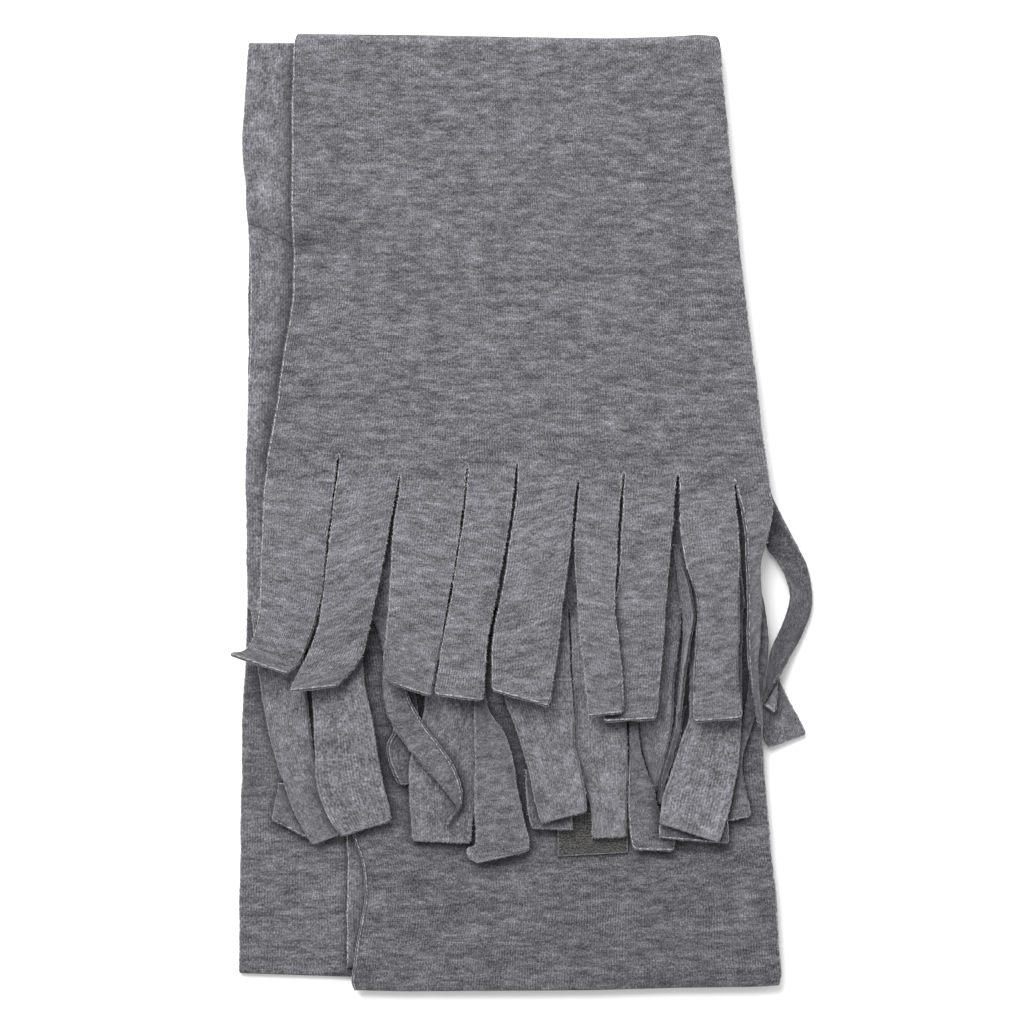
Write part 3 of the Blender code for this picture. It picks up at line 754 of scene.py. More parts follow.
def strip_grid(name, strip, level, root=None, shares=None):
    """Points of a cut strip, how far each lies from its root, and how far from its left side."""
    rows = np.array([(*row, 0, 0)[:6] for row in strip.rows], float)
    rows[:, 4:] += level
    left_side, right_side = rows[:, [0, 1, 4]], rows[:, [2, 3, 5]]
    steps = [np.linalg.norm(np.diff(side, axis=0), axis=1) for side in (left_side, right_side)]
    places = np.concatenate([[0], np.cumsum((steps[0] + steps[1]) / 2)])
    length = places[-1]
    widths = np.linalg.norm(left_side - right_side, axis=1)
    width, tip_width = np.max(widths), widths[-1]
    if shares is None:
        shares = spaced(width, FINE) / width

    # rows of points run across the strip, pulled back round the corners of its tip
    along = spaced(length, FINE)
    corner = min(CORNER_ROUND, tip_width / 2.2)
    from_side = np.minimum(np.minimum(shares, 1 - shares) * tip_width, corner)
    cut_back = corner - np.sqrt(corner**2 - (corner - from_side) ** 2)
    near_tip = ramp((along - (length - CORNER_LENGTH)) / CORNER_LENGTH)
    run = along[:, None] - cut_back[None, :] * near_tip[:, None]
    found = hermite(places, rows, run.ravel()).reshape(*run.shape, 6)
    left, right = found[..., [0, 1, 4]], found[..., [2, 3, 5]]
    across = right - left
    across /= np.maximum(np.linalg.norm(across, axis=-1, keepdims=True), 1e-6)

    # the cuts open, and their edges are uneven
    seed = sum(ord(letter) for letter in name)
    opening = CUT_GAP * ramp(run / CUT_OPENS)
    uneven_left, uneven_right = (wander(run, seed + k, EDGE_WANDER) * ramp(run / EVEN_ROOT) for k in (0, 9))
    left = left + across * (opening + uneven_left)[..., None]
    right = right - across * (opening + uneven_right)[..., None]
    grid = left + (right - left) * shares[None, :, None]

    # crown, lift and rolled edges
    side = np.abs(2 * shares - 1)[None, :]
    away = ramp(run / OWN_SHAPE)
    if strip.face == "knit":
        grid[..., 2] += KNIT_CROWN * (1 - side**4) * away
    else:
        grid[..., 2] += BRUSHED_EDGE_LIFT * side**6 * away
    grid[..., 2] += strip.lift * np.sin(pi / 2 * ramp(run / length / LIFT_SHARE)) ** LIFT_BEND
    open_width = np.linalg.norm(right - left, axis=-1)
    for roll, from_edge, inward in zip(strip.roll, (shares, 1 - shares), (across, -across)):
        roll_up(grid, roll * ramp(run / ROLL_STARTS), from_edge[None, :] * open_width, inward)

    # the cut end curls up unevenly, and the strip swells along its length
    near_end = ramp(1 - (length - run) / CURL_REACH)
    random = np.random.default_rng(seed)
    waves = np.sin(2 * pi * (shares * random.uniform(0.8, 1.6) + random.uniform(0, 1)))
    grid[..., 2] += strip.tip * near_end**2 * (1 + CURL_UNEVEN * waves)[None, :]
    swell = 0.5 + 0.5 * np.sin(2 * pi * (run / random.uniform(38, 60) + random.uniform(0, 1)))
    grid[..., 2] += SWELL * swell * away
    if root is not None:
        grid += (root - grid[0])[None] * np.exp(-run / ROOT_BLEND)[..., None] * (1 - near_end)[..., None]
        grid[0] = root
    return grid, run, shares * width


def sides_of(strip, points):
    """How much loose fibre, partly painted highlight, shows across a strip, from its left side to its right.
    """
    return np.linspace(*strip.raw, points.shape[1])


def cloth_end(prefix, face, grid, cuts, columns, shares, strips, level, below, offset, tone):
    """One end of the scarf: its length of cloth and its strips, as one sheet, laid on what is below."""
    sheet = Sheet()
    u = shares * (cuts[-1][0] - cuts[0][0])
    sheet.add(grid, u + offset, CLOTH_START - grid[..., 1])
    laid, together = {}, Heights(below)
    together.lay(grid)
    for name, strip in strips.items():
        beneath = Heights(below)
        for other in strip.over:
            beneath.merge(laid[other])
        if strip.between is None:
            points, run, across = strip_grid(prefix + name, strip, level)
            points[..., 2] += lift_clear(points, beneath)
            cloth_u = across + 7 * len(name) + points[0, 0, 0]
            root_y = points[0, :, 1]
        else:
            first, last = (columns[cut] for cut in strip.between)
            root = grid[-1, first : last + 1]
            root_u = u[first : last + 1] - u[first]
            points, run, across = strip_grid(prefix + name, strip, level, root, root_u / root_u[-1])
            points[..., 2] += lift_clear(points, beneath) * ramp(run / RISES_OVER)
            stretch = across[-1] / root_u[-1]
            cloth_u = u[first] + root_u * (stretch if stretch > STRETCHED else 1)
            root_y = root[:, 1]
        raw = sides_of(strip, points) * (1.0 if strip.face == "knit" else BRUSHED_RAW)
        # how light its yarn is, partly painted shading, fading in from the root
        lightness_and_painted_shading = (tone + strip.tone) * ramp(run / OWN_SHAPE)
        sheet.add(points, cloth_u + offset, run + CLOTH_START - root_y, strip.face != face, raw, lightness_and_painted_shading)
        laid[name] = Heights()
        laid[name].lay(points)
        together.lay(points)
    return sheet, together


# ---------------------------------------------------------------- meshes

RIM = (
    # inward, up, how much loose fibre and painted highlight shows, how much painted shade on the cut side
    # shows
    (0.38, 1.0, 0.7, 0.0),
    (0.06, 0.82, 1.0, 0.0),
    (0.0, 0.34, 0.0, 1.0),
    (0.0, -0.34, 0.0, 1.0),
    (0.06, -0.82, 1.0, 0.0),
    (0.38, -1.0, 0.7, 0.3),
)
RIM_STEP = 0.4  # cloth coordinates run on by this much from ring to ring
NOTCH = 0.8  # outward directions that add up to less than this meet in a notch
ON_LINE = 0.02


def warp(points):
    """The stack's own soft unevenness: it grows with height, so no level meets the next."""
    x, y = points[:, 0], points[:, 1]
    swell = (
        0.022 * np.sin(x / 31 + 0.6 * np.sin(y / 47))
        + 0.018 * np.sin(y / 26 + 1.3 + 0.5 * np.sin(x / 39))
        + 0.014 * np.sin((x + y) / 17 + 0.4)
        + 0.010 * np.sin((x - 0.7 * y) / 11 + 2.2)
    )
    out = points.copy()
    out[:, 2] *= 1 + swell
    return out


def placed(name, data):
    """An object in the scene, with its mesh, lamp or camera."""
    made = bpy.data.objects.new(name, data)
    bpy.context.scene.collection.objects.link(made)
    return made


def mesh_of(name, points, faces, materials):
    """A mesh in metres from points in millimetres."""
    mesh = bpy.data.meshes.new(name)
    mesh.from_pydata((points * MM).tolist(), [], faces)
    for material in materials:
        mesh.materials.append(material)
    return mesh


def finish_mesh(name, points, faces, cloth, looks, materials, face_material):
    """A piece of cloth with its coordinates, and with the looks that its materials read at each point."""
    mesh = mesh_of(name, points, faces.tolist(), materials)
    layer = mesh.uv_layers.new(name="cloth")
    loops = np.empty(len(mesh.loops), np.int32)
    mesh.loops.foreach_get("vertex_index", loops)
    layer.data.foreach_set("uv", cloth[loops].astype(np.float32).ravel())
    # rim: loose fibre, partly painted highlight. wall: painted shade on the cut side. tone: how light the
    # yarn is, partly painted shading
    for number, attribute in enumerate(("rim", "wall", "tone")):
        values = mesh.attributes.new(attribute, "FLOAT", "POINT")
        values.data.foreach_set("value", looks[:, number].astype(np.float32))
    mesh.polygons.foreach_set("material_index", face_material.astype(np.int32))
    mesh.polygons.foreach_set("use_smooth", np.ones(len(mesh.polygons), bool))
    mesh.update()
    made = placed(name, mesh)
    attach(made, "root")
    return made


def unit(vectors):
    return vectors / np.maximum(np.linalg.norm(vectors, axis=-1, keepdims=True), 1e-9)


def surface_normals(points, faces):
    """Upward direction at each point of a sheet."""
    a, b, c, d = (points[faces[:, k]] for k in range(4))
    normal = np.cross(c - a, d - b)
    total = np.zeros_like(points)
    for k in range(4):
        np.add.at(total, faces[:, k], normal)
    return unit(total)


def rim_of(points, faces, normals):
    """The edge of a sheet: its directed edges, its points, and the outward direction at each."""
    edges = np.concatenate([faces[:, [k, (k + 1) % 4]] for k in range(4)])
    keys = edges.min(1) * np.int64(len(points)) + edges.max(1)
    _, first, count = np.unique(keys, return_index=True, return_counts=True)
    edges = edges[first[count == 1]]
    outward = np.zeros_like(points)
    side = unit(np.cross(unit(points[edges[:, 1]] - points[edges[:, 0]]), normals[edges[:, 0]]))
    np.add.at(outward, edges[:, 0], side)
    np.add.at(outward, edges[:, 1], side)
    inner = np.zeros_like(points)
    number = np.zeros(len(points))
    centre = points[faces].mean(1)
    for k in range(4):
        np.add.at(inner, faces[:, k], centre)
        np.add.at(number, faces[:, k], 1)
    away = unit(points - inner / np.maximum(number, 1)[:, None])
    size = np.linalg.norm(outward, axis=1)
    notch = size < NOTCH
    out = np.where(notch[:, None], away, unit(outward))
    mitre = np.where(notch, 1.0, np.clip(2 / np.maximum(size, 1.2), 1.0, 1.4))
    return edges, np.unique(edges), out * mitre[:, None]


def shell(name, sheet, wall, up, down, flush_y=()):
    """A closed shell of cloth with a soft raw rim. flush_y: where an end meets another piece flat."""
    points, cloth, looks, faces = sheet.joined()
    turned = np.concatenate(sheet.turned)
    normals = surface_normals(points, faces)
    edges, rim_points, outward = rim_of(points, faces, normals)
    half = wall / 2
    flush = np.zeros(len(points), bool)
    for y in flush_y:
        flush |= np.abs(points[:, 1] - y) < ON_LINE
    rim_flush = flush[rim_points]

    # points: the upper side, the lower side, and the rings of the rim between them
    rings = []
    for inward, up_share, _, _ in RIM:
        move = np.where(rim_flush, 0, -inward * half / HALF)[:, None]
        rings.append(points[rim_points] + outward[rim_points] * move + normals[rim_points] * half * up_share)
    top, bottom = points + normals * half, points - normals * half
    top[rim_points], bottom[rim_points] = rings[0], rings[-1]
    vertices = np.concatenate([top, bottom, *rings[1:-1]])

    # faces: both sides, and a band between each ring and the next
    n, m = len(points), len(rim_points)
    middle_rings = [2 * n + m * k for k in range(len(RIM) - 2)]
    place = np.full(n, -1)
    place[rim_points] = np.arange(m)
    ring_edges = [edges, *[place[edges] + start for start in middle_rings], edges + n]
    bands, band_sides = [], []
    for k, (upper, lower) in enumerate(zip(ring_edges, ring_edges[1:])):
        bands.append(np.stack([upper[:, 0], lower[:, 0], lower[:, 1], upper[:, 1]], -1))
        band_sides.append(np.full(len(edges), 0 if 2 * k < len(RIM) - 1 else 1))
    all_faces = np.concatenate([faces, faces[:, ::-1] + n, *bands])
    face_material = np.concatenate([turned, ~turned, *band_sides])

    # looks at each point: loose fibre, partly painted highlight, on the rim; painted shade on the cut side;
    # and how light the yarn is, partly painted shading
    all_looks = np.zeros((len(vertices), 3))
    all_looks[:, 2] = np.concatenate([looks[:, 1], looks[:, 1], *[looks[rim_points, 1]] * len(middle_rings)])
    show = np.where(rim_flush, 0.0, looks[rim_points, 0])
    starts = [rim_points, *[np.arange(start, start + m) for start in middle_rings], rim_points + n]
    for ring, (_, _, fibre_and_highlight_share, painted_cut_shade_share) in zip(starts, RIM):
        all_looks[ring, 0] = fibre_and_highlight_share * show
        all_looks[ring, 1] = painted_cut_shade_share * np.where(rim_flush, 0.0, 1.0)
    around = [cloth[rim_points] + RIM_STEP * k for k in range(1, len(RIM) - 1)]
    all_cloth = np.concatenate([cloth, cloth, *around])
    made = finish_mesh(name, warp(vertices), all_faces, all_cloth, all_looks, (up, down), face_material)
    cut = [edge for edge in edges if not flush[edge].all()]
    return made, (points, normals, outward, np.array(cut))


FIBRE_BREADTH = 0.055
FIBRE_DEPTH = 0.15  # how far in from the raw edge a fibre starts
LEAST_REACH = 0.12
LOWEST_FIBRE = 0.02


def fibres(name, edge_sets, material, per_mm, longest, seed):
    """Short loose fibres along raw-cut edges, as one mesh of thin bent ribbons."""
    random = np.random.default_rng(seed)
    vertices, faces, total = [], [], 0
    for points, normals, outward, edges in edge_sets:
        start, stop = points[edges[:, 0]], points[edges[:, 1]]
        length = np.linalg.norm(stop - start, axis=1)
        count = random.poisson(length * per_mm)
        which = np.repeat(np.arange(len(edges)), count)
        many = len(which)
        column = (many, 1)
        share = random.random(column)
        base = start[which] * (1 - share) + stop[which] * share
        normal = normals[edges[which, 0]]
        out = unit(outward[edges[which, 0]])
        along = unit(stop - start)[which]
        height = random.uniform(-0.8, 0.9, column) * HALF
        reach = longest * random.beta(1.3, 3.2, column) + LEAST_REACH
        aim = out * random.uniform(0.5, 1.1, column)
        aim += along * random.normal(0, 0.75, column)
        aim = unit(aim + normal * random.normal(0.25, 0.5, column))
        bend = unit(along * random.normal(0, 1, column) + normal * random.normal(0, 0.7, column))
        root = base - out * FIBRE_DEPTH + normal * height
        middle = root + aim * reach * 0.55 + bend * reach * 0.12
        end = root + aim * reach + bend * reach * random.uniform(-0.5, 0.5, column)
        broad = unit(np.cross(aim, normal) + 1e-3) * FIBRE_BREADTH
        block = np.stack([root - broad, root + broad, middle - broad * 0.8, middle + broad * 0.8, end], 1)
        vertices.append(block.reshape(-1, 3))
        number = total + 5 * np.arange(many)
        faces += np.stack([number, number + 1, number + 3, number + 2], -1).tolist()
        faces += np.stack([number + 2, number + 3, number + 4], -1).tolist()
        total += 5 * many
    vertices = warp(np.concatenate(vertices))
    vertices[:, 2] = np.maximum(vertices[:, 2], LOWEST_FIBRE)
    mesh = mesh_of(name, vertices, faces, [material])
    mesh.update()
    made = placed(name, mesh)
    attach(made, "root")
    return made


# ---------------------------------------------------------------- materials


class Nodes:
    """A material's node tree, with short calls for the nodes used here."""

    def __init__(self, name):
        self.material = bpy.data.materials.new(name)
        self.material.use_nodes = True
        self.tree = self.material.node_tree
        self.shader = self.tree.nodes["Principled BSDF"]

    def put(self, socket, value):
        if isinstance(value, bpy.types.NodeSocket):
            self.tree.links.new(value, socket)
        else:
            socket.default_value = value

    def math(self, operation, a, b=0.0, clamp=False):
        node = self.tree.nodes.new("ShaderNodeMath")
        node.operation = operation
        node.use_clamp = clamp
        self.put(node.inputs[0], a)
        self.put(node.inputs[1], b)
        return node.outputs[0]

    def add(self, *terms):
        total = terms[0]
        for term in terms[1:]:
            total = self.math("ADD", total, term)
        return total

    def times(self, a, b):
        return self.math("MULTIPLY", a, b)

    def weighed(self, *pairs):
        """Sum of values, each times its weight."""
        return self.add(*[self.times(value, weight) for value, weight in pairs])

    def noise(self, vector, detail=2.0, rough=0.5):
        """Noise about 0, mostly between -0.3 and 0.3, one cell to each unit of the vector."""
        node = self.tree.nodes.new("ShaderNodeTexNoise")
        node.inputs["Scale"].default_value = 1.0
        node.inputs["Detail"].default_value = detail
        node.inputs["Roughness"].default_value = rough
        self.put(node.inputs["Vector"], vector)
        return self.math("SUBTRACT", node.outputs[0], 0.5)

    def cloth(self):
        """Cloth coordinates in millimetres: across the wales, and along them."""
        node = self.tree.nodes.new("ShaderNodeUVMap")
        node.uv_map = "cloth"
        split = self.tree.nodes.new("ShaderNodeSeparateXYZ")
        self.tree.links.new(node.outputs[0], split.inputs[0])
        self.u, self.v = split.outputs[0], split.outputs[1]
        return self.u, self.v

    def grain(self, across, along, layer=0.0, detail=2.0, rough=0.5):
        """Noise on the cloth, with so many cells to the millimetre across the wales and along them."""
        where = self.tree.nodes.new("ShaderNodeCombineXYZ")
        values = (self.times(self.u, across), self.times(self.v, along), layer)
        for socket, value in zip(where.inputs, values):
            self.put(socket, value)
        return self.noise(where.outputs[0], detail, rough)

    def attribute(self, name):
        node = self.tree.nodes.new("ShaderNodeAttribute")
        node.attribute_name = name
        return node.outputs["Fac"]

    def mixed(self, share, a, b):
        """Colour a where share is 0, colour b where it is 1."""
        node = self.tree.nodes.new("ShaderNodeMix")
        node.data_type = "RGBA"
        self.put(node.inputs[0], share)
        self.put(node.inputs[6], a)
        self.put(node.inputs[7], b)
        return node.outputs[2]

    def tint(self, brightness, dark, light):
        """A colour that runs between two greys as brightness goes from 0 to 1."""
        return self.mixed(brightness, (*dark, 1), (*light, 1))

    def yarn(self, pattern):
        """Grey melange: pattern runs about 0, and equal steps of it look equally far apart to the eye."""
        shade = self.math("ADD", 0.5, self.times(pattern, YARN_CONTRAST), True)
        return self.tint(self.math("POWER", shade, EYE_GAMMA), DARKEST_YARN_AND_SHADE, LIGHTEST_YARN)

    def cut_edge(self, colour):
        """Raw edges: painted shade on the cut side and in crevices, and broken light dots of loose fibre,
        partly painted highlight, along both its rims.
        """
        # painted shade on the cut side
        colour = self.mixed(self.times(self.attribute("wall"), PAINTED_CUT_SIDE_SHADE), colour, (*DARKEST_YARN_AND_SHADE, 1))
        # painted shade where other cloth closes in
        colour = self.painted_crevice_shade(colour)
        # broken light dots along the rims: loose fibre, partly painted highlight
        dots = self.grain(1.1, 1.1, 7.0, 1)
        loose = self.math("MULTIPLY", self.attribute("rim"), self.add(0.35, self.times(dots, 5.0)), True)
        return self.mixed(loose, colour, (*FIBRE_AND_HIGHLIGHT_GREY, 1))

    def painted_crevice_shade(self, colour):
        """Painted shade: the colour runs to the darkest yarn grey where other cloth closes in, by ambient
        occlusion.
        """
        near = self.tree.nodes.new("ShaderNodeAmbientOcclusion")
        near.samples = CREVICE_SAMPLES
        near.inputs["Distance"].default_value = CREVICE_REACH * MM
        return self.mixed(self.math("POWER", near.outputs["AO"], CREVICE_SHADE), (*DARKEST_YARN_AND_SHADE, 1), colour)

    def finish(self, colour, roughness, height, depth, sheen=0.0):
        """Sends colour and roughness to the shader, and height as bumps of a depth in millimetres."""
        bump = self.tree.nodes.new("ShaderNodeBump")
        bump.inputs["Strength"].default_value = 1.0
        bump.inputs["Distance"].default_value = depth * MM
        self.put(bump.inputs["Height"], height)
        self.put(self.shader.inputs["Base Color"], colour)
        self.put(self.shader.inputs["Roughness"], roughness)
        self.put(self.shader.inputs["Normal"], bump.outputs[0])
        self.shader.inputs["Specular IOR Level"].default_value = 0.25
        if sheen:
            self.shader.inputs["Sheen Weight"].default_value = sheen
            self.shader.inputs["Sheen Roughness"].default_value = 0.6
            self.shader.inputs["Sheen Tint"].default_value = (0.9, 0.9, 1.0, 1)
        return self.material


WALE = 0.95  # one rib of the knit face
COURSE = 0.74  # one row of stitches
# darkest yarn grey, also the grey that painted shade runs to
DARKEST_YARN_AND_SHADE = (0.004, 0.004, 0.005)
LIGHTEST_YARN = (0.398, 0.391, 0.431)
YARN_CONTRAST = 0.36
EYE_GAMMA = 2.2
# painted shade on the cut sides of raw edges
PAINTED_CUT_SIDE_SHADE = 0.65
# light grey of the dots along raw rims: loose fibre, partly painted highlight
FIBRE_AND_HIGHLIGHT_GREY = (0.42, 0.415, 0.435)
# painted shade in crevices: its reach in millimetres, its strength as a power of the occlusion, and its
# samples
CREVICE_REACH = 6.0
CREVICE_SHADE = 2.3
CREVICE_SAMPLES = 6
WARP_PITCH = 0.42  # threads of the label
WEFT_PITCH = 0.9


def knit_face():
    """Smooth side of the jersey: fine wales of small V stitches, streaked with darker and lighter yarn."""
    n = Nodes("knit_face")
    u, v = n.cloth()
    drift = n.grain(0.10, 0.05, detail=1)
    jitter = n.grain(0.9, 0.8, 4.0)
    wale = n.math("DIVIDE", n.add(u, n.times(drift, 1.6), n.times(jitter, 0.5)), WALE)
    leg = n.math("ABSOLUTE", n.math("SUBTRACT", n.math("FRACT", wale), 0.5))
    ridge = n.math("SUBTRACT", 1.0, n.math("POWER", n.times(leg, 2.0), 2.0))
    bow = n.grain(0.03, 0.02, 9.0, 1)
    course = n.math("DIVIDE", n.add(v, n.times(bow, 9.0)), COURSE)
    stitch = n.math("SINE", n.times(n.add(course, n.times(leg, 1.1)), 2 * pi))
    long_streak = n.grain(0.13, 0.42, 1.0, 3)
    short_streak = n.grain(0.4, 1.0, 2.0, 2, 0.6)
    speck = n.grain(1.75, 1.25, 3.0, 2, 0.6)
    cloud = n.grain(0.035, 0.11, 5.0)
    ribbed = n.math("ADD", 0.5, n.times(n.grain(0.04, 0.06, 8.0), 3.0), True)
    ribs = n.times(ribbed, n.add(ridge, -0.67))
    looks = n.weighed(
        (long_streak, 1.6),
        (short_streak, 1.2),
        (speck, 2.5),
        (cloud, 0.6),
        (ribs, 0.5),
        (stitch, 0.05),
    )
    # cut_edge adds painted shade on cut sides and in crevices, and painted highlight on the rims
    colour = n.cut_edge(n.yarn(n.add(looks, n.attribute("tone"))))
    fuzz = n.grain(4.0, 4.0, 6.0, 3, 0.65)
    height = n.weighed((ridge, 0.6), (stitch, 0.16), (fuzz, 0.9), (short_streak, 0.3))
    roughness = n.add(0.88, n.times(fuzz, 0.3))
    return n.finish(colour, roughness, height, depth=0.22, sheen=0.15)


def brushed_back():
    """Napped side: short tangled pile with no direction, mottled and a little lighter."""
    n = Nodes("brushed_back")
    u, _ = n.cloth()
    tuft = n.grain(0.6, 0.45, 1.0, 4, 0.65)
    clump = n.grain(0.2, 0.16, 2.0, 3, 0.55)
    speck = n.grain(1.4, 1.1, 3.0, 2, 0.7)
    cloud = n.grain(0.03, 0.04, 4.0)
    leg = n.math("ABSOLUTE", n.math("SUBTRACT", n.math("FRACT", n.add(u, n.times(tuft, 0.8))), 0.5))
    looks = n.weighed((tuft, 1.9), (clump, 1.5), (speck, 2.7), (cloud, 0.5), (leg, 0.7))
    # cut_edge adds painted shade on cut sides and in crevices, and painted highlight on the rims
    colour = n.cut_edge(n.yarn(n.add(-0.16, looks, n.attribute("tone"))))
    height = n.weighed((tuft, 1.2), (speck, 0.7), (clump, 0.9))
    roughness = n.add(0.95, n.times(speck, 0.2))
    return n.finish(colour, roughness, height, depth=0.5, sheen=0.35)


def loose_fibre():
    """Single fibres: light grey, each a little different."""
    n = Nodes("loose_fibre")
    where = n.tree.nodes.new("ShaderNodeTexCoord")
    scaled = n.tree.nodes.new("ShaderNodeVectorMath")
    scaled.operation = "SCALE"
    n.tree.links.new(where.outputs["Object"], scaled.inputs[0])
    scaled.inputs["Scale"].default_value = 900.0
    vary = n.noise(scaled.outputs[0], 1)
    colour = n.tint(n.math("ADD", n.times(vary, 2.2), 0.5, True), (0.16, 0.16, 0.175), (0.45, 0.445, 0.47))
    n.put(n.shader.inputs["Base Color"], colour)
    n.put(n.shader.inputs["Roughness"], n.add(0.85, n.times(vary, 0.3)))
    return n.material


def label_weave():
    """Dark satin-woven label with nothing on it."""
    n = Nodes("label_weave")
    u, v = n.cloth()
    warp_thread = n.math("SINE", n.times(u, 2 * pi / WARP_PITCH))
    weft_thread = n.math("SINE", n.add(n.times(v, 2 * pi / WEFT_PITCH), n.times(u, 0.4)))
    patch = n.grain(0.3, 0.9, detail=3, rough=0.6)
    speck = n.grain(1.3, 2.2, 2.0, 3, 0.7)
    grey = n.add(0.45, n.weighed((patch, 1.2), (speck, 5.0), (weft_thread, 0.08)))
    colour = n.tint(n.math("ADD", grey, 0.0, True), (0.01, 0.0098, 0.0098), (0.085, 0.082, 0.081))
    stitched = n.math("MULTIPLY", n.attribute("rim"), n.add(0.5, n.times(speck, 3.0)), True)
    colour = n.mixed(stitched, colour, (0.25, 0.25, 0.25, 1))
    height = n.weighed((warp_thread, 0.3), (weft_thread, 0.5), (speck, 0.6))
    return n.finish(colour, n.add(0.72, n.times(patch, 0.2)), height, depth=0.06)


def floor_white():
    """Plain white paper, as good as even."""
    n = Nodes("floor_white")
    where = n.tree.nodes.new("ShaderNodeTexCoord")
    vary = n.noise(where.outputs["Object"], 1)
    n.put(n.shader.inputs["Base Color"], n.tint(n.add(0.5, vary), (0.94, 0.94, 0.94), (0.96, 0.96, 0.96)))
    n.shader.inputs["Roughness"].default_value = 1.0
    n.shader.inputs["Specular IOR Level"].default_value = 0.0
    return n.material


# ---------------------------------------------------------------- large forms


def on_level(grid, level):
    """Which points of a grid lie on a level or above it, and not on the way round a fold."""
    return grid[..., 2] > level - SAME_LEVEL


def lift_edge(grid):
    """Lets the left edge of the first end stand off what it lies on."""
    from_edge = grid[..., 0] - grid[:, :1, 0]
    past_fold = ramp((TOP_FOLD_OUTER_Y - grid[..., 1]) / 8)
    rise = (1 - ramp(from_edge / FIRST_LIFT_REACH)) ** 2
    grid[..., 2] += FIRST_LIFT * rise * on_level(grid, FIRST) * past_fold


def crease(grid, height, far, where=1.0):
    """A cross fold by the left edges of both ends: a step up, a slope above it, then a slow fall.

    far: the x where it ends. where: the points that it may move.
    """
    x, y = grid[..., 0], grid[..., 1]
    away = y - np.interp(x, *np.transpose(CREASE_LINE))
    fade = ramp((far - x) / CREASE_FADE) ** 1.5 * where
    step = ramp(away / 0.8)
    rise = CREASE_STEP * step + (1 - CREASE_STEP) * eased(away / CREASE_SLOPE)
    grid[..., 2] += fade * height * rise * np.exp(-np.maximum(away - CREASE_SLOPE, 0) / CREASE_FALL)
    grid[..., 1] -= fade * CREASE_OVERHANG * step * np.exp(-np.maximum(away, 0) / 3)


def sag(grid):
    """The second end hangs a little past the left edge of the panel that it lies on."""
    edge = edges_at(LOWER_EDGES, grid[:, 0, 1])[:, :1]
    past = np.maximum(0, edge - grid[..., 0])
    loose = on_level(grid, SECOND) * ramp((TOP_FOLD_INNER_Y - grid[..., 1]) / 20)
    grid[..., 2] -= loose * np.minimum(MOST_SAG, SAG_BEND * past**2)


def bulge(grid):
    """The second end swells where it comes out from under the left edge of the first."""
    y = grid[..., 1]
    edge = edges_at(FIRST_EDGES, y.ravel())[:, 0].reshape(y.shape)
    out = eased((edge - 0.6 - grid[..., 0]) / SECOND_SWELL_REACH)
    shown = ramp((TOP_FOLD_INNER_Y - y) / 12)
    grid[..., 2] += SECOND_SWELL * out * shown * ramp((y + 20) / 40)


def soften_fold(grid, table, start, corner):
    """Makes a folded end less straight: a (x, shift in y) table for its line, and round corners."""
    x, y = grid[..., 0], grid[..., 1]
    near = ramp((y - start) / (np.max(np.abs(y)) * np.sign(start) - start))
    grid[..., 1] += near * np.interp(x, *np.transpose(table))
    low, high = x.min(1, keepdims=True), x.max(1, keepdims=True)
    side = (2 * x - low - high) / (high - low)
    grid[..., 0] -= corner * near**12 * np.sign(side) * np.abs(side) ** 9


# ---------------------------------------------------------------- the scarf


def folded_turn(number, turn, knit, brushed, heights):
    """One of the four lowest lengths of cloth, laid down. Returns it and its raw edges."""
    path = [(turn.start, turn.level)] + run_of(turn.start, turn.stop, turn.step, turn.level)
    if turn.folds_from:
        path += hairpin(turn.stop, turn.folds_from, turn.level, -1)[-2::-1]
    width = np.diff(np.array(turn.edges)[:, 1:], axis=1).mean()
    shares = spaced(width, turn.step) / width
    grid, run = level_grid(path, turn.edges, shares, seed=10 + number)
    if turn.fold_line:
        soften_fold(grid, turn.fold_line, start=-150.0, corner=FOLD_ROUND)
        droop = ramp((DROOP_FROM_Y - grid[..., 1]) / DROOP_REACH) ** 1.5
        grid[..., 2] -= FOLD_DROOP * droop * (grid[..., 2] > TURN_3 - 1)  # the back fold lies lower than this
    in_view = ramp((EDGE_IN_VIEW_Y - grid[:, :1, 1]) / 10)
    roll_up(grid, turn.roll * in_view, shares[None, :] * width, np.array([1.0, 0.0, 0.0]))
    offset = 500.0 + 800.0 * number  # each length of cloth shows its own stretch of the pattern
    sheet = Sheet()
    sheet.add(grid, shares * width + offset, run[:, None] + offset, tone=turn.tone)
    up, down = (knit, brushed) if turn.up == "knit" else (brushed, knit)
    made, edges = shell(turn.piece, sheet, CLOTH, up, down, turn.flush)
    heights.lay(grid)
    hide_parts(turn.node)
    return made, edges


def second_end(knit, brushed, heights):
    """The end that lies brushed side up, with its strips. Returns it, its raw edges and the heights now."""
    shares, columns = cut_shares(SECOND_CUTS, MIDDLING)
    path = hairpin(TOP_FOLD_INNER_Y, LOWER, SECOND, 1)
    places = (TOP_FOLD_INNER_Y, *CREASE_ROWS, SECOND_CUT_Y)
    for start, stop, step in zip(places, places[1:], (MIDDLING, CREASE_SPACING, MIDDLING)):
        path += run_of(start, stop, step, SECOND)
    grid, _ = level_grid(path, SECOND_EDGES, shares, seed=15)
    sag(grid)
    bulge(grid)
    crease(grid, *SECOND_CREASE)
    first_cut, last_cut = SECOND_CUTS[0][0], SECOND_CUTS[-1][0]
    grid[-1, :, 0] = first_cut + (last_cut - first_cut) * shares
    sheet, heights = cloth_end(
        "second_", "brushed", grid, SECOND_CUTS, columns, shares, SECOND_FRINGE, SECOND, heights,
        offset=0.0, tone=0.04,
    )
    flush = (TOP_FOLD_INNER_Y - FOLD_RETURN,)
    made, edges = shell("second_end_cloth", sheet, CLOTH, brushed, knit, flush)
    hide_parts("second_end", *[f"second_fringe_{name}" for name in SECOND_FRINGE])
    return made, edges, heights


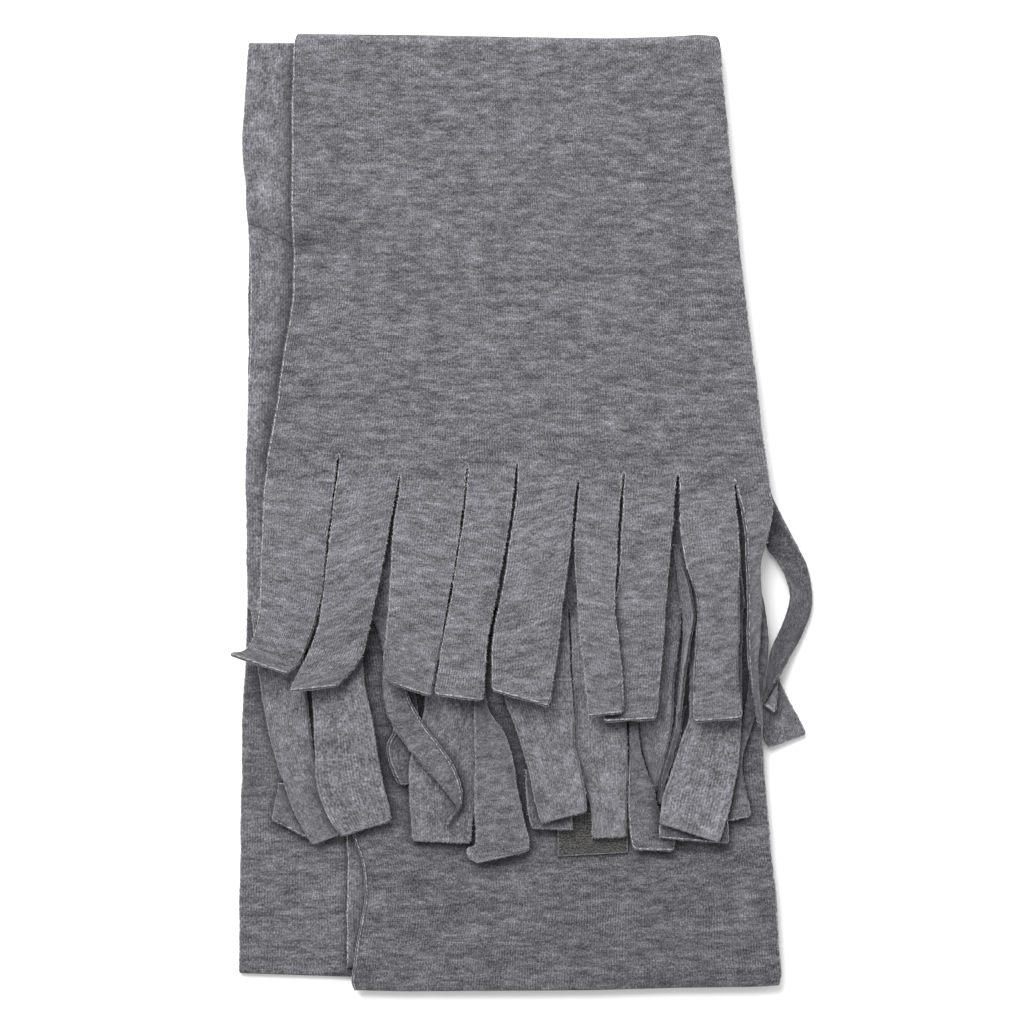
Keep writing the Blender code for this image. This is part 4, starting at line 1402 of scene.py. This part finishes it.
def first_end(knit, brushed, heights):
    """The end that lies on top, knit side up, with its strips. Returns it and its raw edges."""
    shares, columns = cut_shares(FIRST_CUTS, FINE)
    path = hairpin(TOP_FOLD_OUTER_Y, TURN_1, FIRST, 1)
    path += run_of(TOP_FOLD_OUTER_Y, FIRST_CUTS_FROM_Y, NEAR_CUTS, FIRST)
    grid, _ = level_grid(path, FIRST_EDGES, shares, seed=16)
    soften_fold(grid, TOP_FOLD_LINE, start=150.0, corner=TOP_FOLD_ROUND)
    lift_edge(grid)
    crease(grid, *FIRST_CREASE, on_level(grid, FIRST))
    grid = to_cuts(grid, FIRST_CUTS, shares, NEAR_CUTS)
    near_cuts = eased((FIRST_PUFF_FROM_Y - grid[..., 1]) / FIRST_PUFF_REACH)
    grid[..., 2] += FIRST_PUFF * near_cuts * on_level(grid, FIRST)
    level = FIRST + FIRST_PUFF
    sheet, _ = cloth_end(
        "first_", "knit", grid, FIRST_CUTS, columns, shares, FIRST_FRINGE, level, heights,
        offset=800.0, tone=0.12,
    )
    flush = (TOP_FOLD_OUTER_Y - FOLD_RETURN,)
    made, edges = shell("first_end_cloth", sheet, CLOTH, knit, brushed, flush)
    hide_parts("first_end", *[f"first_fringe_{name}" for name in FIRST_FRINGE])
    return made, edges


def twisted_strip(knit, brushed):
    """The first end's tenth strip, which turns over on its way: an upper loop and a tail."""
    sheet = Sheet()
    for name, strip in TWISTED.items():
        points, run, across = strip_grid(name, strip, FIRST)
        v = run + points[0, 0, 2] * 9
        sheet.add(points, across + 4500.0, v, strip.face != "brushed", sides_of(strip, points), strip.tone)
    made, edges = shell("twisted_strip", sheet, CLOTH, brushed, knit)
    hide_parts("first_fringe_10_twisted")
    return made, edges


def sewn_label():
    """A bare woven label, with light thread along its rim."""
    rows = np.array(LABEL_ROWS, float)
    down = np.linspace(0, 1, 24)[:, None]
    side = np.linspace(0, 1, 36)[None, :, None]
    left = rows[0, :2] + (rows[1, :2] - rows[0, :2]) * down
    right = rows[0, 2:] + (rows[1, 2:] - rows[0, 2:]) * down
    flat = left[:, None] + (right - left)[:, None] * side
    grid = np.concatenate([flat, np.full((*flat.shape[:2], 1), LABEL_LEVEL)], -1)
    sheet = Sheet()
    sheet.add(grid, flat[..., 0], flat[..., 1])
    weave = label_weave()
    made, _ = shell("label", sheet, LABEL_WALL, weave, weave)
    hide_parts("sewn_label")
    return made


def scarf():
    """All the pieces, from the bottom up, so that each can be laid on those below it."""
    knit, brushed = knit_face(), brushed_back()
    heights = Heights()
    turns = [folded_turn(number, turn, knit, brushed, heights) for number, turn in enumerate(TURNS, 1)]
    (turn_1, _), (turn_2, turn_2_edges), (turn_3, turn_3_edges), (lower, lower_edges) = turns
    label = sewn_label()
    second, second_edges, heights = second_end(knit, brushed, heights)
    first, first_edges = first_end(knit, brushed, heights)
    twisted, twisted_edges = twisted_strip(knit, brushed)
    fibre = loose_fibre()
    upper = (first_edges, twisted_edges)
    lowest = (second_edges, lower_edges, turn_2_edges, turn_3_edges)
    upper_fibres = fibres("fibres_upper", upper, fibre, per_mm=9.0, longest=1.2, seed=31)
    lower_fibres = fibres("fibres_lower", lowest, fibre, per_mm=6.0, longest=1.0, seed=32)

    return turn_1, turn_2, turn_3, lower, second, first, twisted, label


# ---------------------------------------------------------------- floor, light and camera


def floor():
    """A wide white floor just under the scarf."""
    reach, low = 6.0, -0.0004
    corners = [(-reach, -reach, low), (reach, -reach, low), (reach, reach, low), (-reach, reach, low)]
    mesh = bpy.data.meshes.new("floor")
    mesh.from_pydata(corners, [], [(0, 1, 2, 3)])
    mesh.materials.append(floor_white())
    placed("floor", mesh)


def studio():
    """The floor, an even white surrounding, one large soft lamp from the back left, and the camera."""
    floor()
    scene = bpy.context.scene
    world = bpy.data.worlds.new("studio")
    world.use_nodes = True
    colour, strength = world.node_tree.nodes["Background"].inputs[:2]
    colour.default_value = (1.0, 1.0, 1.0, 1)
    strength.default_value = 0.78
    scene.world = world

    lamp = bpy.data.lights.new("softbox", "AREA")
    lamp.shape = "DISK"
    lamp.size = 1.1
    lamp.energy = 36.5
    softbox = placed("softbox", lamp)
    softbox.location = (-0.4, 0.9, 1.1)
    softbox.rotation_euler = (-softbox.location).to_track_quat("-Z", "Y").to_euler()  # faces the origin

    lens = bpy.data.cameras.new("camera")
    lens.lens = 100.0
    lens.sensor_width = 36.0
    lens.clip_end = 20.0
    camera = placed("camera", lens)
    camera.location = (0, 0, 1.038)
    scene.camera = camera
    scene.view_settings.view_transform = "Standard"


scarf()
studio()
